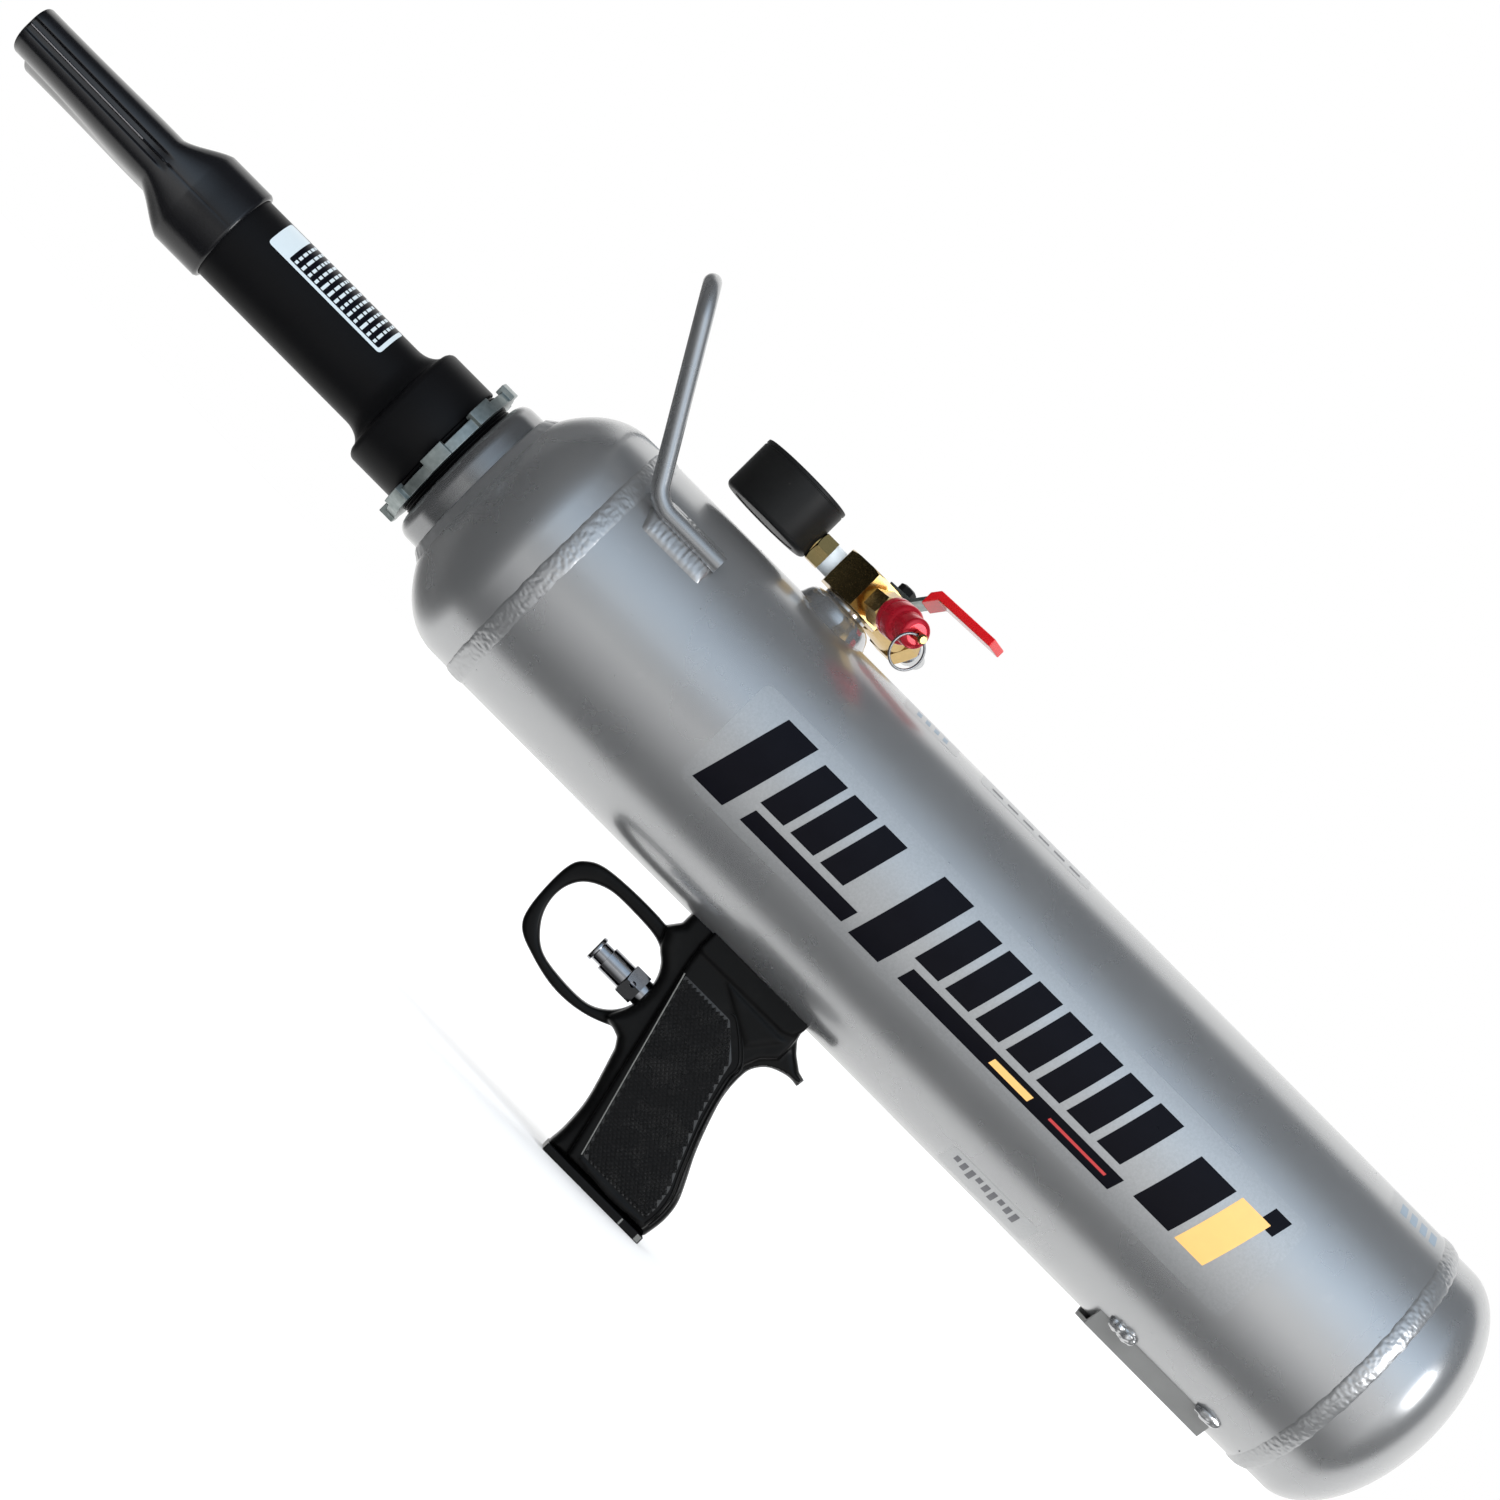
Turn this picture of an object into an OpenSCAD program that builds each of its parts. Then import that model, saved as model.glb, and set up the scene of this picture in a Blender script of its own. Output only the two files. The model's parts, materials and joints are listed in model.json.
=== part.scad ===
// Bead seater: a hand-held air tank with a trigger grip, a valve cluster and a wide blast nozzle.
// The tank lies along X with the nozzle at +X. The origin is the middle of the grip's flat butt.

/* [Tank] */
// Outer diameter of the tank shell
tank_d = 127; // [120:1:132]
// Wall of the shell and of both heads
tank_wall = 3; // [2.5:0.5:4]
// Height of the tank's axis above the butt of the grip
axis_z = 175; // [174:0.5:176]
// Front weld seam
front_seam_x = 192.2; // [190:0.1:196]
// Rear weld seam
rear_seam_x = -267.4; // [-300:0.1:-260]
// Outer diameter of the front head's skirt
front_head_d = 126.4; // [125:0.1:126.6]
// Outer diameter of the rear head's skirt
rear_head_d = 124.6; // [123:0.1:126.6]
// Height of a weld bead above the shell
bead_h = 0.7; // [0.4:0.1:1.6]

/* [Barrel] */
// Outer diameter of the barrel tube
barrel_d = 42; // [41:0.5:43]
// Bore of the barrel
barrel_bore = 36; // [32:1:37]
// Diameter of the thread behind the barrel's base
thread_d = 59; // [58:0.5:59]
// Running clearance of the thread in its collar, on the radius
running_gap = 0.06; // [0.03:0.01:0.09]
// Outer diameter of the neck collar
collar_d = 74.6; // [72:0.2:76]
// Front edge of the nozzle
nozzle_tip_x = 501; // [480:1:505]
// Width of the nozzle's mouth
mouth_w = 84; // [70:1:90]
// Height of the nozzle's mouth
mouth_h = 25.4; // [22:0.1:28]

/* [Valve cluster] */
// Distance along X to the middle of the manifold block
block_x = 97.4; // [90:0.1:100]
// Width of the manifold block across its flats
block_af = 30; // [28:1:32]
// Diameter of the gauge case
gauge_d = 44.7; // [42:0.1:46]
// Distance along X to the middle of the gauge
gauge_x = 147; // [146:0.5:149]
// Length of the ball valve's lever from its stem
lever_l = 48; // [40:1:55]

/* [Grip and handle] */
// Thickness of the grip over its two panels
grip_w = 30; // [28:1:32]
// Thickness of the trigger guard
guard_w = 12; // [10:1:16]
// Height of the trigger valve's axis
trigger_z = 74; // [73:0.5:75]
// Diameter of the carry handle's rod
rod_d = 8; // [7:0.5:9]

/* [Hidden] */
$fn = 64;
eps = 0.01;
through = 200;

tank_r = tank_d / 2;
tank_inner_r = tank_r - tank_wall;
thread_r = thread_d / 2;
collar_r = collar_d / 2;
collar_bore_r = thread_r + running_gap;

// Heads: a short skirt, then half an ellipse
front_skirt = 12.9;
rear_skirt = 14.6;
front_depth = 41.2;
rear_depth = 34;
head_steps = 18;
front_head_x = front_seam_x + front_skirt;
rear_head_x = rear_seam_x - rear_skirt;

// Neck, barrel and lock nut along X
collar_back_x = 228;
collar_front_x = 252.4;
seat_x = 229;
nut_back_x = 255.8;
nut_front_x = 262.8;
base_back_x = 263;
base_front_x = 288.5;
base_r = 30.2;
flare_front_x = 298.5;
barrel_front_x = 392;
nozzle_back_x = 385.6;
nozzle_wall = 3;

// Piston valve inside the front of the tank
cage_r = 33;
cage_bore_r = 26;
cage_back_x = 163;
piston_front_x = 223.8;
piston_back_x = 181;
piston_wall = 3;
piston_face = 6;
ring_x = 190;

// Pilot line from the piston's chamber to the trigger valve
pilot_x = 18;
pilot_r = 4;
pilot_bore_r = 2.5;
pilot_bend = 30;
boss_top_z = 126;
grip_bolt_x = -3;

// Valve cluster
port_z = axis_z + 81.5;
tank_top_z = axis_z + tank_r;
block_bottom_z = axis_z + 73;
block_top_z = axis_z + 91;
gauge_port = 0;
safety_port = 120;
valve_port = 240;
block_face = block_af / 2;
thread_depth = 8.8;
npt_r = 5;
big_npt_r = 6;
stem_d = 28;
lever_port = 150;
lever_z = 11.6;
lever_rise = 10.4;
lever_thick = 1.8;
lever_w = 11;
sleeve_t = 1.1;
slope_start = 6.6;
slope_end = 15.6;
gauge_bottom_z = axis_z + 73;
gauge_top_z = axis_z + 99;
gear_z = axis_z + 83.6;
gear_module = 0.5;
pinion_teeth = 10;
wheel_teeth = 40;
sector_x = gauge_x + gear_module * (pinion_teeth + wheel_teeth) / 2;
dial_z = axis_z + 89;

// Grip
core_w = 22;
panel_t = 2.5;
plate_top_z = 3.7;
handle_front = [[35.3, 49.9], [31.8, 39], [29, 29.3], [27.7, 22], [27.1, 11.5], [27.7, plate_top_z]];
handle_back = [[-27.7, plate_top_z], [-29.2, 14], [-28.2, 23.3], [-24.3, 32.2], [-18.4, 44],
    [-12.5, 59.8], [-10, 69.6], [-9.5, 79.5], [-11, 85], [-15.4, 89.8], [-23.3, 92.6], [-28.7, 92.2]];
handle_tang = [[-29.2, 96.2], [-25.3, 97.2], [-19.3, 101.6], [-15.4, 106], [-13.9, 111.4], [-13.9, 116]];
handle_top = [[52.3, 116], [52.3, 106.5], [56.5, 100.8], [52, 93], [46.5, 88], [43.4, 82],
    [42.5, 76], [42.8, 69], [44.6, 63.7], [47.5, 57], [41.7, 55.3], [38, 53.9]];
guard_outer = [[56, 100.9], [87, 100.6], [99, 96], [103, 87], [102.2, 67.6], [98, 57.8],
    [87, 52.9], [72, 49.6], [57.4, 50.4], [44, 55], [34, 62], [30, 78], [38, 94]];
guard_inner = [[56, 94.2], [69, 95.2], [83, 94.6], [92.9, 89.8], [97.4, 82], [97.4, 73],
    [93.5, 64.5], [85, 57], [72, 54.6], [57.4, 54.8], [48.6, 59.3], [43.5, 67], [42.5, 76],
    [44, 83.5], [49, 90.5]];
panel_outline = [[36.8, 92.2], [10.7, 92.2], [-2.1, 80.4], [-3.6, 73.5], [-8.5, 55.8],
    [-16.4, 36.1], [-21.3, 25.3], [-22.8, 16.5], [-22.3, 10.1], [14.1, 10.1]];
cavity_outline = [[20, 0], [20, 28], [14, 52], [9, 62], [-3, 62], [-7, 50], [-14, 32],
    [-19, 20], [-19, 0]];

// Carry handle: two feet along the tank and one bent loop
foot_angle = 41;
foot_back_x = 146;
foot_bend_x = 182.6;
handle_lean = 59.2;
handle_leg = 93.8;
foot_bend_r = 14;
top_bend_r = 18;
bend_steps = 7;

// ---------- shared shapes ----------

// Anything drawn along +Z is laid along the tank's axis, with its Z as the tank's X
module on_axis(x = 0) translate([x, 0, axis_z]) rotate([0, 90, 0]) children();

module turned(points) on_axis() rotate_extrude($fn = 96) polygon(points);

module rod_x(r, from, to) on_axis(from) cylinder(r = r, h = to - from);

module ring(r_out, r_in, h) difference() {
    cylinder(r = r_out, h = h);
    translate([0, 0, -1]) cylinder(r = r_in, h = h + 2);
}

// A port of the manifold block: local Z runs outwards from the block's middle
module port(angle, d = 0) translate([block_x, 0, port_z]) rotate([0, 0, angle])
    translate([d, 0, 0]) rotate([0, 90, 0]) children();

module hex(across_flats, h) cylinder(r = across_flats / 2 / cos(30), h = h, $fn = 6);

// A hexagon with its corners turned off at the outer end
module turned_hex(across_flats, h, chamfer = 0.8) intersection() {
    hex(across_flats, h);
    union() {
        cylinder(r = across_flats, h = h - chamfer + eps);
        translate([0, 0, h - chamfer])
            cylinder(r1 = across_flats / 2 / cos(30), r2 = across_flats / 2 / cos(30) - 2 * chamfer, h = chamfer);
    }
}

function catmull(a, b, c, d, t) = 0.5 * (2 * b + (c - a) * t + (2 * a - 5 * b + 4 * c - d) * t * t
    + (3 * b - a - 3 * c + d) * t * t * t);

function smooth_loop(p, n) = let(m = len(p))
    [for (i = [0 : m - 1], k = [0 : n - 1])
        catmull(p[(i + m - 1) % m], p[i], p[(i + 1) % m], p[(i + 2) % m], k / n)];

function smooth_path(p, n) = let(m = len(p))
    concat([for (i = [0 : m - 2], k = [0 : n - 1])
        catmull(p[max(i - 1, 0)], p[i], p[i + 1], p[min(i + 2, m - 1)], k / n)], [p[m - 1]]);

// A side outline in X and Z, given a thickness across Y
module plate_xz(points, w, y = 0) translate([0, y + w / 2, 0]) rotate([90, 0, 0])
    linear_extrude(height = w) polygon(points);

// A helical wire spring along +Z, standing on Z = 0
module coil(r_mean, r_wire, length, turns, per_turn = 12, sides = 6) {
    n = turns * per_turn;
    points = [for (i = [0 : n], k = [0 : sides - 1]) let(a = 360 * i / per_turn, b = 360 * k / sides,
        r = r_mean + r_wire * cos(b))
        [r * cos(a), r * sin(a), r_wire + (length - 2 * r_wire) * i / n + r_wire * sin(b)]];
    side_faces = [for (i = [0 : n - 1], k = [0 : sides - 1]) let(j = (k + 1) % sides)
        [i * sides + k, (i + 1) * sides + k, (i + 1) * sides + j, i * sides + j]];
    polyhedron(points, concat([[for (k = [0 : sides - 1]) k]], side_faces,
        [[for (k = [sides - 1 : -1 : 0]) n * sides + k]]), convexity = 10);
}

// A quarter of a head's profile, as radius and place along the axis
function head_arc(x, r, depth, dir, stop) = [for (i = [0 : head_steps]) let(t = stop * i / head_steps)
    [r * cos(t), x + dir * depth * sin(t)]];

module gear_outline(teeth, first, last, root) {
    pitch_r = gear_module * teeth / 2;
    step = 360 / teeth;
    circle(r = pitch_r - root);
    for (i = [first : last]) rotate(i * step) polygon([[pitch_r - root - 0.5, 0.36], [pitch_r - root, 0.36],
        [pitch_r, 0.26], [pitch_r + 0.42, 0.12], [pitch_r + 0.42, -0.12], [pitch_r, -0.26],
        [pitch_r - root, -0.36], [pitch_r - root - 0.5, -0.36]]);
}

// ---------- tank ----------

function front_head_arc() = head_arc(front_head_x, front_head_d / 2, front_depth, 1, acos(collar_d / front_head_d));

module tank_shell() color("silver") difference() {
    on_axis(rear_seam_x) ring(tank_r, tank_inner_r, front_seam_x - rear_seam_x);
    translate([block_x, 0, axis_z]) cylinder(r = 11, h = through);
    translate([pilot_x, 0, 0]) cylinder(r = 5, h = axis_z);
    translate([grip_bolt_x, 0, 0]) cylinder(r = 4, h = axis_z);
}

module front_head() color("silver") {
    r = front_head_d / 2;
    outer = front_head_arc();
    inner = head_arc(front_head_x, r - tank_wall, front_depth - tank_wall, 1, acos(collar_r / (r - tank_wall)));
    turned(concat([[r, front_seam_x]], outer, [for (i = [len(inner) - 1 : -1 : 0]) inner[i]],
        [[r - tank_wall, front_seam_x]]));
}

module rear_head() color("silver") {
    r = rear_head_d / 2;
    outer = head_arc(rear_head_x, r, rear_depth, -1, 90);
    inner = head_arc(rear_head_x, r - tank_wall, rear_depth - tank_wall, -1, 90);
    turned(concat([[r - tank_wall, rear_seam_x]], inner, [for (i = [len(outer) - 1 : -1 : 0]) outer[i]],
        [[r, rear_seam_x]]));
}

module weld_bead(x, head_r, dir) turned([[tank_r, x - dir * 4.8], [tank_r + bead_h * 0.75, x - dir * 3.6],
    [tank_r + bead_h, x], [tank_r + bead_h * 0.55, x + dir * 3.2], [head_r, x + dir * 4.8],
    [head_r, x], [tank_r, x]]);

module front_weld_bead() color("silver") weld_bead(front_seam_x, front_head_d / 2, 1);

module rear_weld_bead() color("silver") weld_bead(rear_seam_x, rear_head_d / 2, -1);

module neck_collar() color("silver") turned([[collar_bore_r, collar_back_x], [collar_r, collar_back_x],
    [collar_r, collar_front_x - 5.4], [collar_r - 0.9, collar_front_x - 2.6], [collar_r - 2.4, collar_front_x - 0.9],
    [collar_r - 5, collar_front_x], [collar_bore_r, collar_front_x]]);

module neck_weld() color("silver") on_axis() rotate_extrude($fn = 96) difference() {
    polygon([[collar_r, 230], [collar_r, 240.6], [collar_r + 1.4, 239.9], [collar_r + 2.6, 238.4],
        [collar_r + 5.2, 236], [collar_r + 6, 233], [collar_r + 4, 230]]);
    polygon(concat([[0, front_seam_x], [front_head_d / 2, front_seam_x]], front_head_arc(), [[collar_r, front_seam_x]]));
}

module inlet_bung() color("silver") translate([block_x, 0, axis_z + 55]) ring(11, big_npt_r, 18);

module inlet_weld() color("silver") difference() {
    translate([block_x, 0, axis_z + 58]) cylinder(r1 = 22, r2 = 13.6, h = 11.8);
    rod_x(tank_r, 0, through);
    translate([block_x, 0, axis_z]) cylinder(r = 11, h = through);
}

module grip_boss() color("dimgray") difference() {
    intersection() {
        translate([-14, -12, 100]) cube([46, 24, boss_top_z - 100]);
        rod_x(tank_inner_r, -through, through);
    }
    translate([pilot_x, 0, 90]) cylinder(r = 5, h = 60);
    translate([grip_bolt_x, 0, 90]) cylinder(r = 4, h = 30);
}

module pilot_nipple() color("dimgray") translate([pilot_x, 0, 98]) ring(5, pilot_bore_r, boss_top_z - 98);

module grip_bolt() color("dimgray") translate([grip_bolt_x, 0, 62 - eps]) {
    cylinder(r = 4, h = 56);
    translate([0, 0, -8 + eps]) ring(6.4, 2.6, 8);
}

module foot_outline(t) polygon([[-26 + t, 118], [-26 + t, 117.8], [-17.4 + t * 0.6, axis_z - 67.3 + t],
    [17.4 - t * 0.6, axis_z - 67.3 + t], [26 - t, 117.8], [26 - t, 118]]);

module foot_bracket() color("slategray") difference() {
    translate([-180, 0, 0]) rotate([90, 0, -90]) linear_extrude(height = 66) difference() {
        foot_outline(0);
        foot_outline(2);
    }
    rod_x(tank_r, -through * 2, 0);
}

module foot_welds() color("silver") difference() {
    for (x = [-198.5, -247.5], side = [-1, 1]) translate([x, side * 26, 117])
        rotate([0, 90, 0]) cylinder(r = 3.4, h = 13.5);
    rod_x(tank_r, -through * 2, 0);
    translate([-180, 0, 0]) rotate([90, 0, -90]) linear_extrude(height = 80) foot_outline(0);
}

// ---------- carry handle ----------

function foot_y() = (tank_r + rod_d / 2) * cos(foot_angle);

function foot_z() = axis_z + (tank_r + rod_d / 2) * sin(foot_angle);

module foot_rod(side, r, from, to) translate([from, side * foot_y(), foot_z()])
    rotate([0, 90, 0]) cylinder(r = r, h = to - from);

// A place on the leaning loop: along is measured up the leg from the foot's bend
function on_loop(along, y) = [foot_bend_x + along * cos(handle_lean), y, foot_z() + along * sin(handle_lean)];

// Half of the rod's middle line, from the foot's end to the middle of the top bar
function half_route() = let(back_off = foot_bend_r * tan(handle_lean / 2))
    concat([[foot_back_x, foot_y(), foot_z()]],
        [for (i = [0 : bend_steps]) let(a = handle_lean * i / bend_steps)
            [foot_bend_x - back_off + foot_bend_r * sin(a), foot_y(), foot_z() + foot_bend_r * (1 - cos(a))]],
        [for (i = [0 : bend_steps]) let(a = 90 * i / bend_steps)
            on_loop(handle_leg - top_bend_r * (1 - sin(a)), foot_y() - top_bend_r * (1 - cos(a)))]);

function unit(v) = v / norm(v);

function turn_normal(n, t) = unit(n - (n * t) * t);

// The direction across the rod at each point, carried along without twisting
function carried(tangents, i) = i == 0 ? turn_normal([0, 1, 0], tangents[0])
    : turn_normal(carried(tangents, i - 1), tangents[i]);

module rod_along(route, r, sides) {
    n = len(route);
    tangents = [for (i = [0 : n - 1]) unit(route[min(i + 1, n - 1)] - route[max(i - 1, 0)])];
    points = [for (i = [0 : n - 1]) let(u = carried(tangents, i), v = cross(tangents[i], u))
        each [for (k = [0 : sides - 1]) route[i] + r * (cos(360 * k / sides) * u + sin(360 * k / sides) * v)]];
    polyhedron(points, concat([[for (k = [0 : sides - 1]) k]],
        [for (i = [0 : n - 2], k = [0 : sides - 1]) let(j = (k + 1) % sides)
            each [[i * sides + k, (i + 1) * sides + k, (i + 1) * sides + j], [i * sides + k, (i + 1) * sides + j, i * sides + j]]],
        [[for (k = [sides - 1 : -1 : 0]) (n - 1) * sides + k]]), convexity = 10);
}

module carry_handle() color("silver") {
    half = half_route();
    other = [for (i = [len(half) - 1 : -1 : 0]) [half[i][0], -half[i][1], half[i][2]]];
    rod_along(concat(half, other), rod_d / 2, 16);
}

module handle_welds() color("silver") difference() {
    for (side = [-1, 1], angle = [foot_angle - 4.6, foot_angle + 4.6])
        on_axis(foot_back_x + 1) rotate([0, 0, side * (90 - angle) + 180]) translate([tank_r + 1.6, 0, 0])
            cylinder(r = 3.6, h = 27, $fn = 32);
    rod_x(tank_r, 0, through * 2);
    for (side = [-1, 1]) foot_rod(side, rod_d / 2, foot_back_x - 5, foot_bend_x + 10);
}

// ---------- piston valve ----------

module valve_cage() color("slategray") difference() {
    on_axis(cage_back_x) ring(cage_r, cage_bore_r, collar_back_x - cage_back_x);
    for (a = [0 : 45 : 315]) on_axis(208) rotate([0, 0, a]) translate([0, -7, 0]) cube([through, 14, 15]);
}

module valve_cap() color("dimgray") difference() {
    union() {
        rod_x(cage_r, 157, cage_back_x);
        rod_x(cage_bore_r, cage_back_x - eps, 166);
        rod_x(8, 146, 157 + eps);
        rod_x(8, 166 - eps, 176);
    }
    rod_x(pilot_bore_r, 140, 180);
    rod_x(pilot_r, 140, 154);
}

module pilot_route(r) {
    rod_x(r, pilot_x + pilot_bend, 154);
    translate([pilot_x + pilot_bend, 0, axis_z - pilot_bend]) rotate([90, 0, 0]) rotate([0, 0, 90])
        rotate_extrude(angle = 90, $fn = 64) translate([pilot_bend, 0]) circle(r = r, $fn = 32);
    translate([pilot_x, 0, boss_top_z]) cylinder(r = r, h = axis_z - pilot_bend - boss_top_z);
}

module pilot_tube() color("peru") difference() {
    pilot_route(pilot_r);
    pilot_route(pilot_bore_r);
}

module pilot_nuts() color("goldenrod") {
    on_axis(136) difference() {
        turned_hex(17, 10);
        translate([0, 0, -1]) cylinder(r = pilot_r, h = 12);
    }
    translate([pilot_x, 0, boss_top_z]) difference() {
        turned_hex(17, 10);
        translate([0, 0, -1]) cylinder(r = pilot_r, h = 12);
    }
}

module main_piston() color("lightgray") {
    r = cage_bore_r - running_gap;
    turned([[0, piston_front_x], [r, piston_front_x], [r, ring_x + 2], [r - 2.2, ring_x + 2],
        [r - 2.2, ring_x - 2], [r, ring_x - 2], [r, piston_back_x], [r - piston_wall - 1.6, piston_back_x],
        [r - piston_wall - 1.6, piston_front_x - piston_face], [0, piston_front_x - piston_face]]);
}

module piston_seal() color("black") rod_x(25.4, piston_front_x, seat_x - 0.1);

module piston_ring() color("black") on_axis(ring_x) rotate_extrude() translate([cage_bore_r - running_gap - 1.1, 0])
    circle(r = 1.1, $fn = 24);

module piston_spring() color("gray") on_axis(166) coil(12, 1, piston_front_x - piston_face - 166, 8, 14);

// ---------- barrel ----------

module barrel_tube() color([0.08, 0.08, 0.08]) {
    bore = barrel_bore / 2;
    r = barrel_d / 2;
    flare = [for (i = [0 : 8]) let(a = 90 * i / 8)
        [base_r - 2.2 - (base_r - 2.2 - r) * sin(a), flare_front_x - (flare_front_x - base_front_x) * cos(a)]];
    ridges = [for (i = [0 : 2]) let(x = collar_front_x - 0.6 + 1.4 * i)
        each [[thread_r, x], [thread_r - 0.6, x + 0.7]]];
    turned(concat([[bore, seat_x], [bore + 3, seat_x], [bore + 4.5, seat_x + 3], [thread_r - 1.5, seat_x + 3],
        [thread_r, seat_x + 4.5], [thread_r, 236.2], [thread_r - 2.6, 236.2], [thread_r - 2.6, 239.6],
        [thread_r, 239.6]], ridges, [[thread_r, nut_back_x], [thread_r, base_back_x], [base_r, base_back_x],
        [base_r, base_front_x - 2], [base_r - 2, base_front_x]], flare,
        [[r, barrel_front_x], [bore, barrel_front_x]]));
}

module barrel_seal() color("black") on_axis(237.9) rotate_extrude() translate([thread_r - 1.3, 0])
    circle(r = 1.3, $fn = 24);

// Stamped ring: a flat back, a low rim, and lugs that are pushed out and stand higher
module lock_nut() color("gainsboro") on_axis(nut_back_x) difference() {
    union() {
        cylinder(r = 35, h = 5);
        for (i = [0 : 7]) rotate(i * 45 - 9.4) intersection() {
            cylinder(r = 37.2, h = nut_front_x - nut_back_x);
            translate([28, -5.8, 0]) cube([12, 11.6, 10]);
        }
    }
    translate([0, 0, 2]) cylinder(r = 33, h = 10);
    for (i = [0 : 7]) rotate(i * 45 - 9.4) intersection() {
        translate([0, 0, 2]) cylinder(r = 35.2, h = 10);
        translate([28, -4, 0]) cube([12, 8, 12]);
    }
    translate([0, 0, -1]) cylinder(r = thread_r + running_gap, h = 12);
}

// Nozzle: round at its socket, then spread into a wide flat mouth with a waist and grooved edges
nozzle_steps = 40;
cone_x = 409;
flat_x = 427;
nozzle_turn = 2.1;

function ease(t) = let(u = min(max(t, 0), 1)) u * u * (3 - 2 * u);

// Mostly a straight cone, with its ends eased
function cone_share(t) = let(u = min(max(t, 0), 1)) 0.6 * u + 0.4 * ease(u);

function power(v, e) = sign(v) * pow(abs(v), e);

function nozzle_ring(x, inset) = let(
    spread = cone_share((x - cone_x) / (flat_x - cone_x)),
    along = min(max((x - cone_x) / (nozzle_tip_x - cone_x), 0), 1),
    w = 23.25 + (mouth_w / 2 - 23.25) * along - inset,
    t = (23.25 + (13 - 23.25) * spread) + (mouth_h / 2 - 13) * along * spread - inset,
    e = 1 - 0.36 * spread,
    waist = 0.3 * ease((along - 0.3) / 0.6),
    groove = inset > 0 ? 0 : 2.2 * spread)
    [for (k = [0 : nozzle_steps - 1]) let(a = 360 * (k + 0.5) / nozzle_steps,
        y = w * power(cos(a), e), z = t * power(sin(a), e))
        [x, y - groove * sign(y) * exp(-pow(z / 2.4, 2)), axis_z + z * (1 - waist * exp(-pow(y / (w * 0.42), 2)))]];

module nozzle() color([0.08, 0.08, 0.08]) {
    r = 23.25;
    outer_x = [nozzle_back_x, cone_x, 412, 416, 420, 424, flat_x, 440, 452, 464, 476, 488, nozzle_tip_x];
    inner_x = [nozzle_tip_x, 488, 476, 464, 452, 440, flat_x, 424, 420, 416, 412, cone_x, 396];
    sockets = [[barrel_front_x, 0], [barrel_front_x, 1], [nozzle_back_x, 1]];
    rings = concat([for (x = outer_x) nozzle_ring(x, 0)], [for (x = inner_x) nozzle_ring(x, nozzle_wall)],
        [for (s = sockets) let(socket_r = s[1] == 0 ? barrel_bore / 2 + 0.2 : barrel_d / 2 + 0.15)
            [for (k = [0 : nozzle_steps - 1]) let(a = 360 * (k + 0.5) / nozzle_steps)
                [s[0], socket_r * cos(a), axis_z + socket_r * sin(a)]]]);
    n = len(rings);
    points = [for (one = rings, p = one) p];
    faces = [for (i = [0 : n - 1], k = [0 : nozzle_steps - 1]) let(j = (k + 1) % nozzle_steps, m = (i + 1) % n)
        each [[i * nozzle_steps + k, i * nozzle_steps + j, m * nozzle_steps + j],
            [i * nozzle_steps + k, m * nozzle_steps + j, m * nozzle_steps + k]]];
    translate([0, 0, axis_z]) rotate([nozzle_turn, 0, 0]) translate([0, 0, -axis_z])
        polyhedron(points, faces, convexity = 10);
}

// ---------- manifold, gauge ----------

module manifold_block() color("goldenrod") difference() {
    translate([block_x, 0, block_bottom_z]) rotate([0, 0, 30]) turned_hex(block_af, block_top_z - block_bottom_z, 0.9);
    translate([block_x, 0, block_bottom_z - 1]) cylinder(r = big_npt_r, h = 9);
    port(gauge_port, block_face - 11) cylinder(r = npt_r, h = 30);
    port(safety_port, block_face - 11) cylinder(r = npt_r, h = 30);
    port(valve_port, block_face - 10) cylinder(r = big_npt_r, h = 30);
    translate([block_x, 0, port_z]) sphere(r = 5.6);
}

module manifold_nipple() color("goldenrod") translate([block_x, 0, axis_z + 60]) ring(big_npt_r, 3.5, 18);

module gauge_case() color([0.1, 0.1, 0.1]) difference() {
    translate([gauge_x, 0, gauge_bottom_z]) difference() {
        cylinder(r = gauge_d / 2, h = gauge_top_z - gauge_bottom_z);
        translate([0, 0, 1.8]) cylinder(r = 20.2, h = 40);
        translate([0, 0, 22.5]) cylinder(r = 21.2, h = 40);
    }
    port(gauge_port, 24) cylinder(r = 5.5, h = 12);
}

module gauge_stem() color("goldenrod") difference() {
    union() {
        port(gauge_port, block_face - thread_depth) cylinder(r = npt_r, h = thread_depth + 6);
        port(gauge_port, block_face + 5.4) rotate([0, 0, 30]) turned_hex(13.6, 7);
        port(gauge_port, block_face + 12) cylinder(r = 5.5, h = 4);
        translate([block_x + block_face + 15.9, -5.5, port_z - 5.5]) cube([9, 11, 6.5]);
    }
    port(gauge_port, 0) cylinder(r = 1.6, h = 36);
}

module gauge_tape() color("whitesmoke") port(gauge_port, block_face + 0.1) ring(6.6, npt_r, 5.2);

module gauge_movement() color("goldenrod") difference() {
    union() {
        translate([gauge_x, 0, axis_z + 82.6]) cylinder(r = 17, h = 0.8);
        for (p = [[-7.5, 13], [-7.5, -13], [18, 0]]) translate([gauge_x + p[0] * 0.9, p[1] * 0.9, axis_z + 83.4 - eps])
            cylinder(r = 1, h = 5.6 + eps);
        translate([block_x + block_face + 15.9, -4, port_z + 1]) cube([9, 8, 0.12]);
    }
    translate([gauge_x, 0, axis_z + 80]) cylinder(r = 0.86, h = 8);
    translate([sector_x, 0, axis_z + 80]) cylinder(r = 0.86, h = 8);
}

module bourdon_tube() color("peru") translate([gauge_x, 0, axis_z + 76]) rotate([0, 0, 158])
    rotate_extrude(angle = -238, $fn = 64) difference() {
        translate([15.4, 0]) square([3, 5]);
        translate([16, 0.8]) square([1.8, 3.4]);
    }

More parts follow.
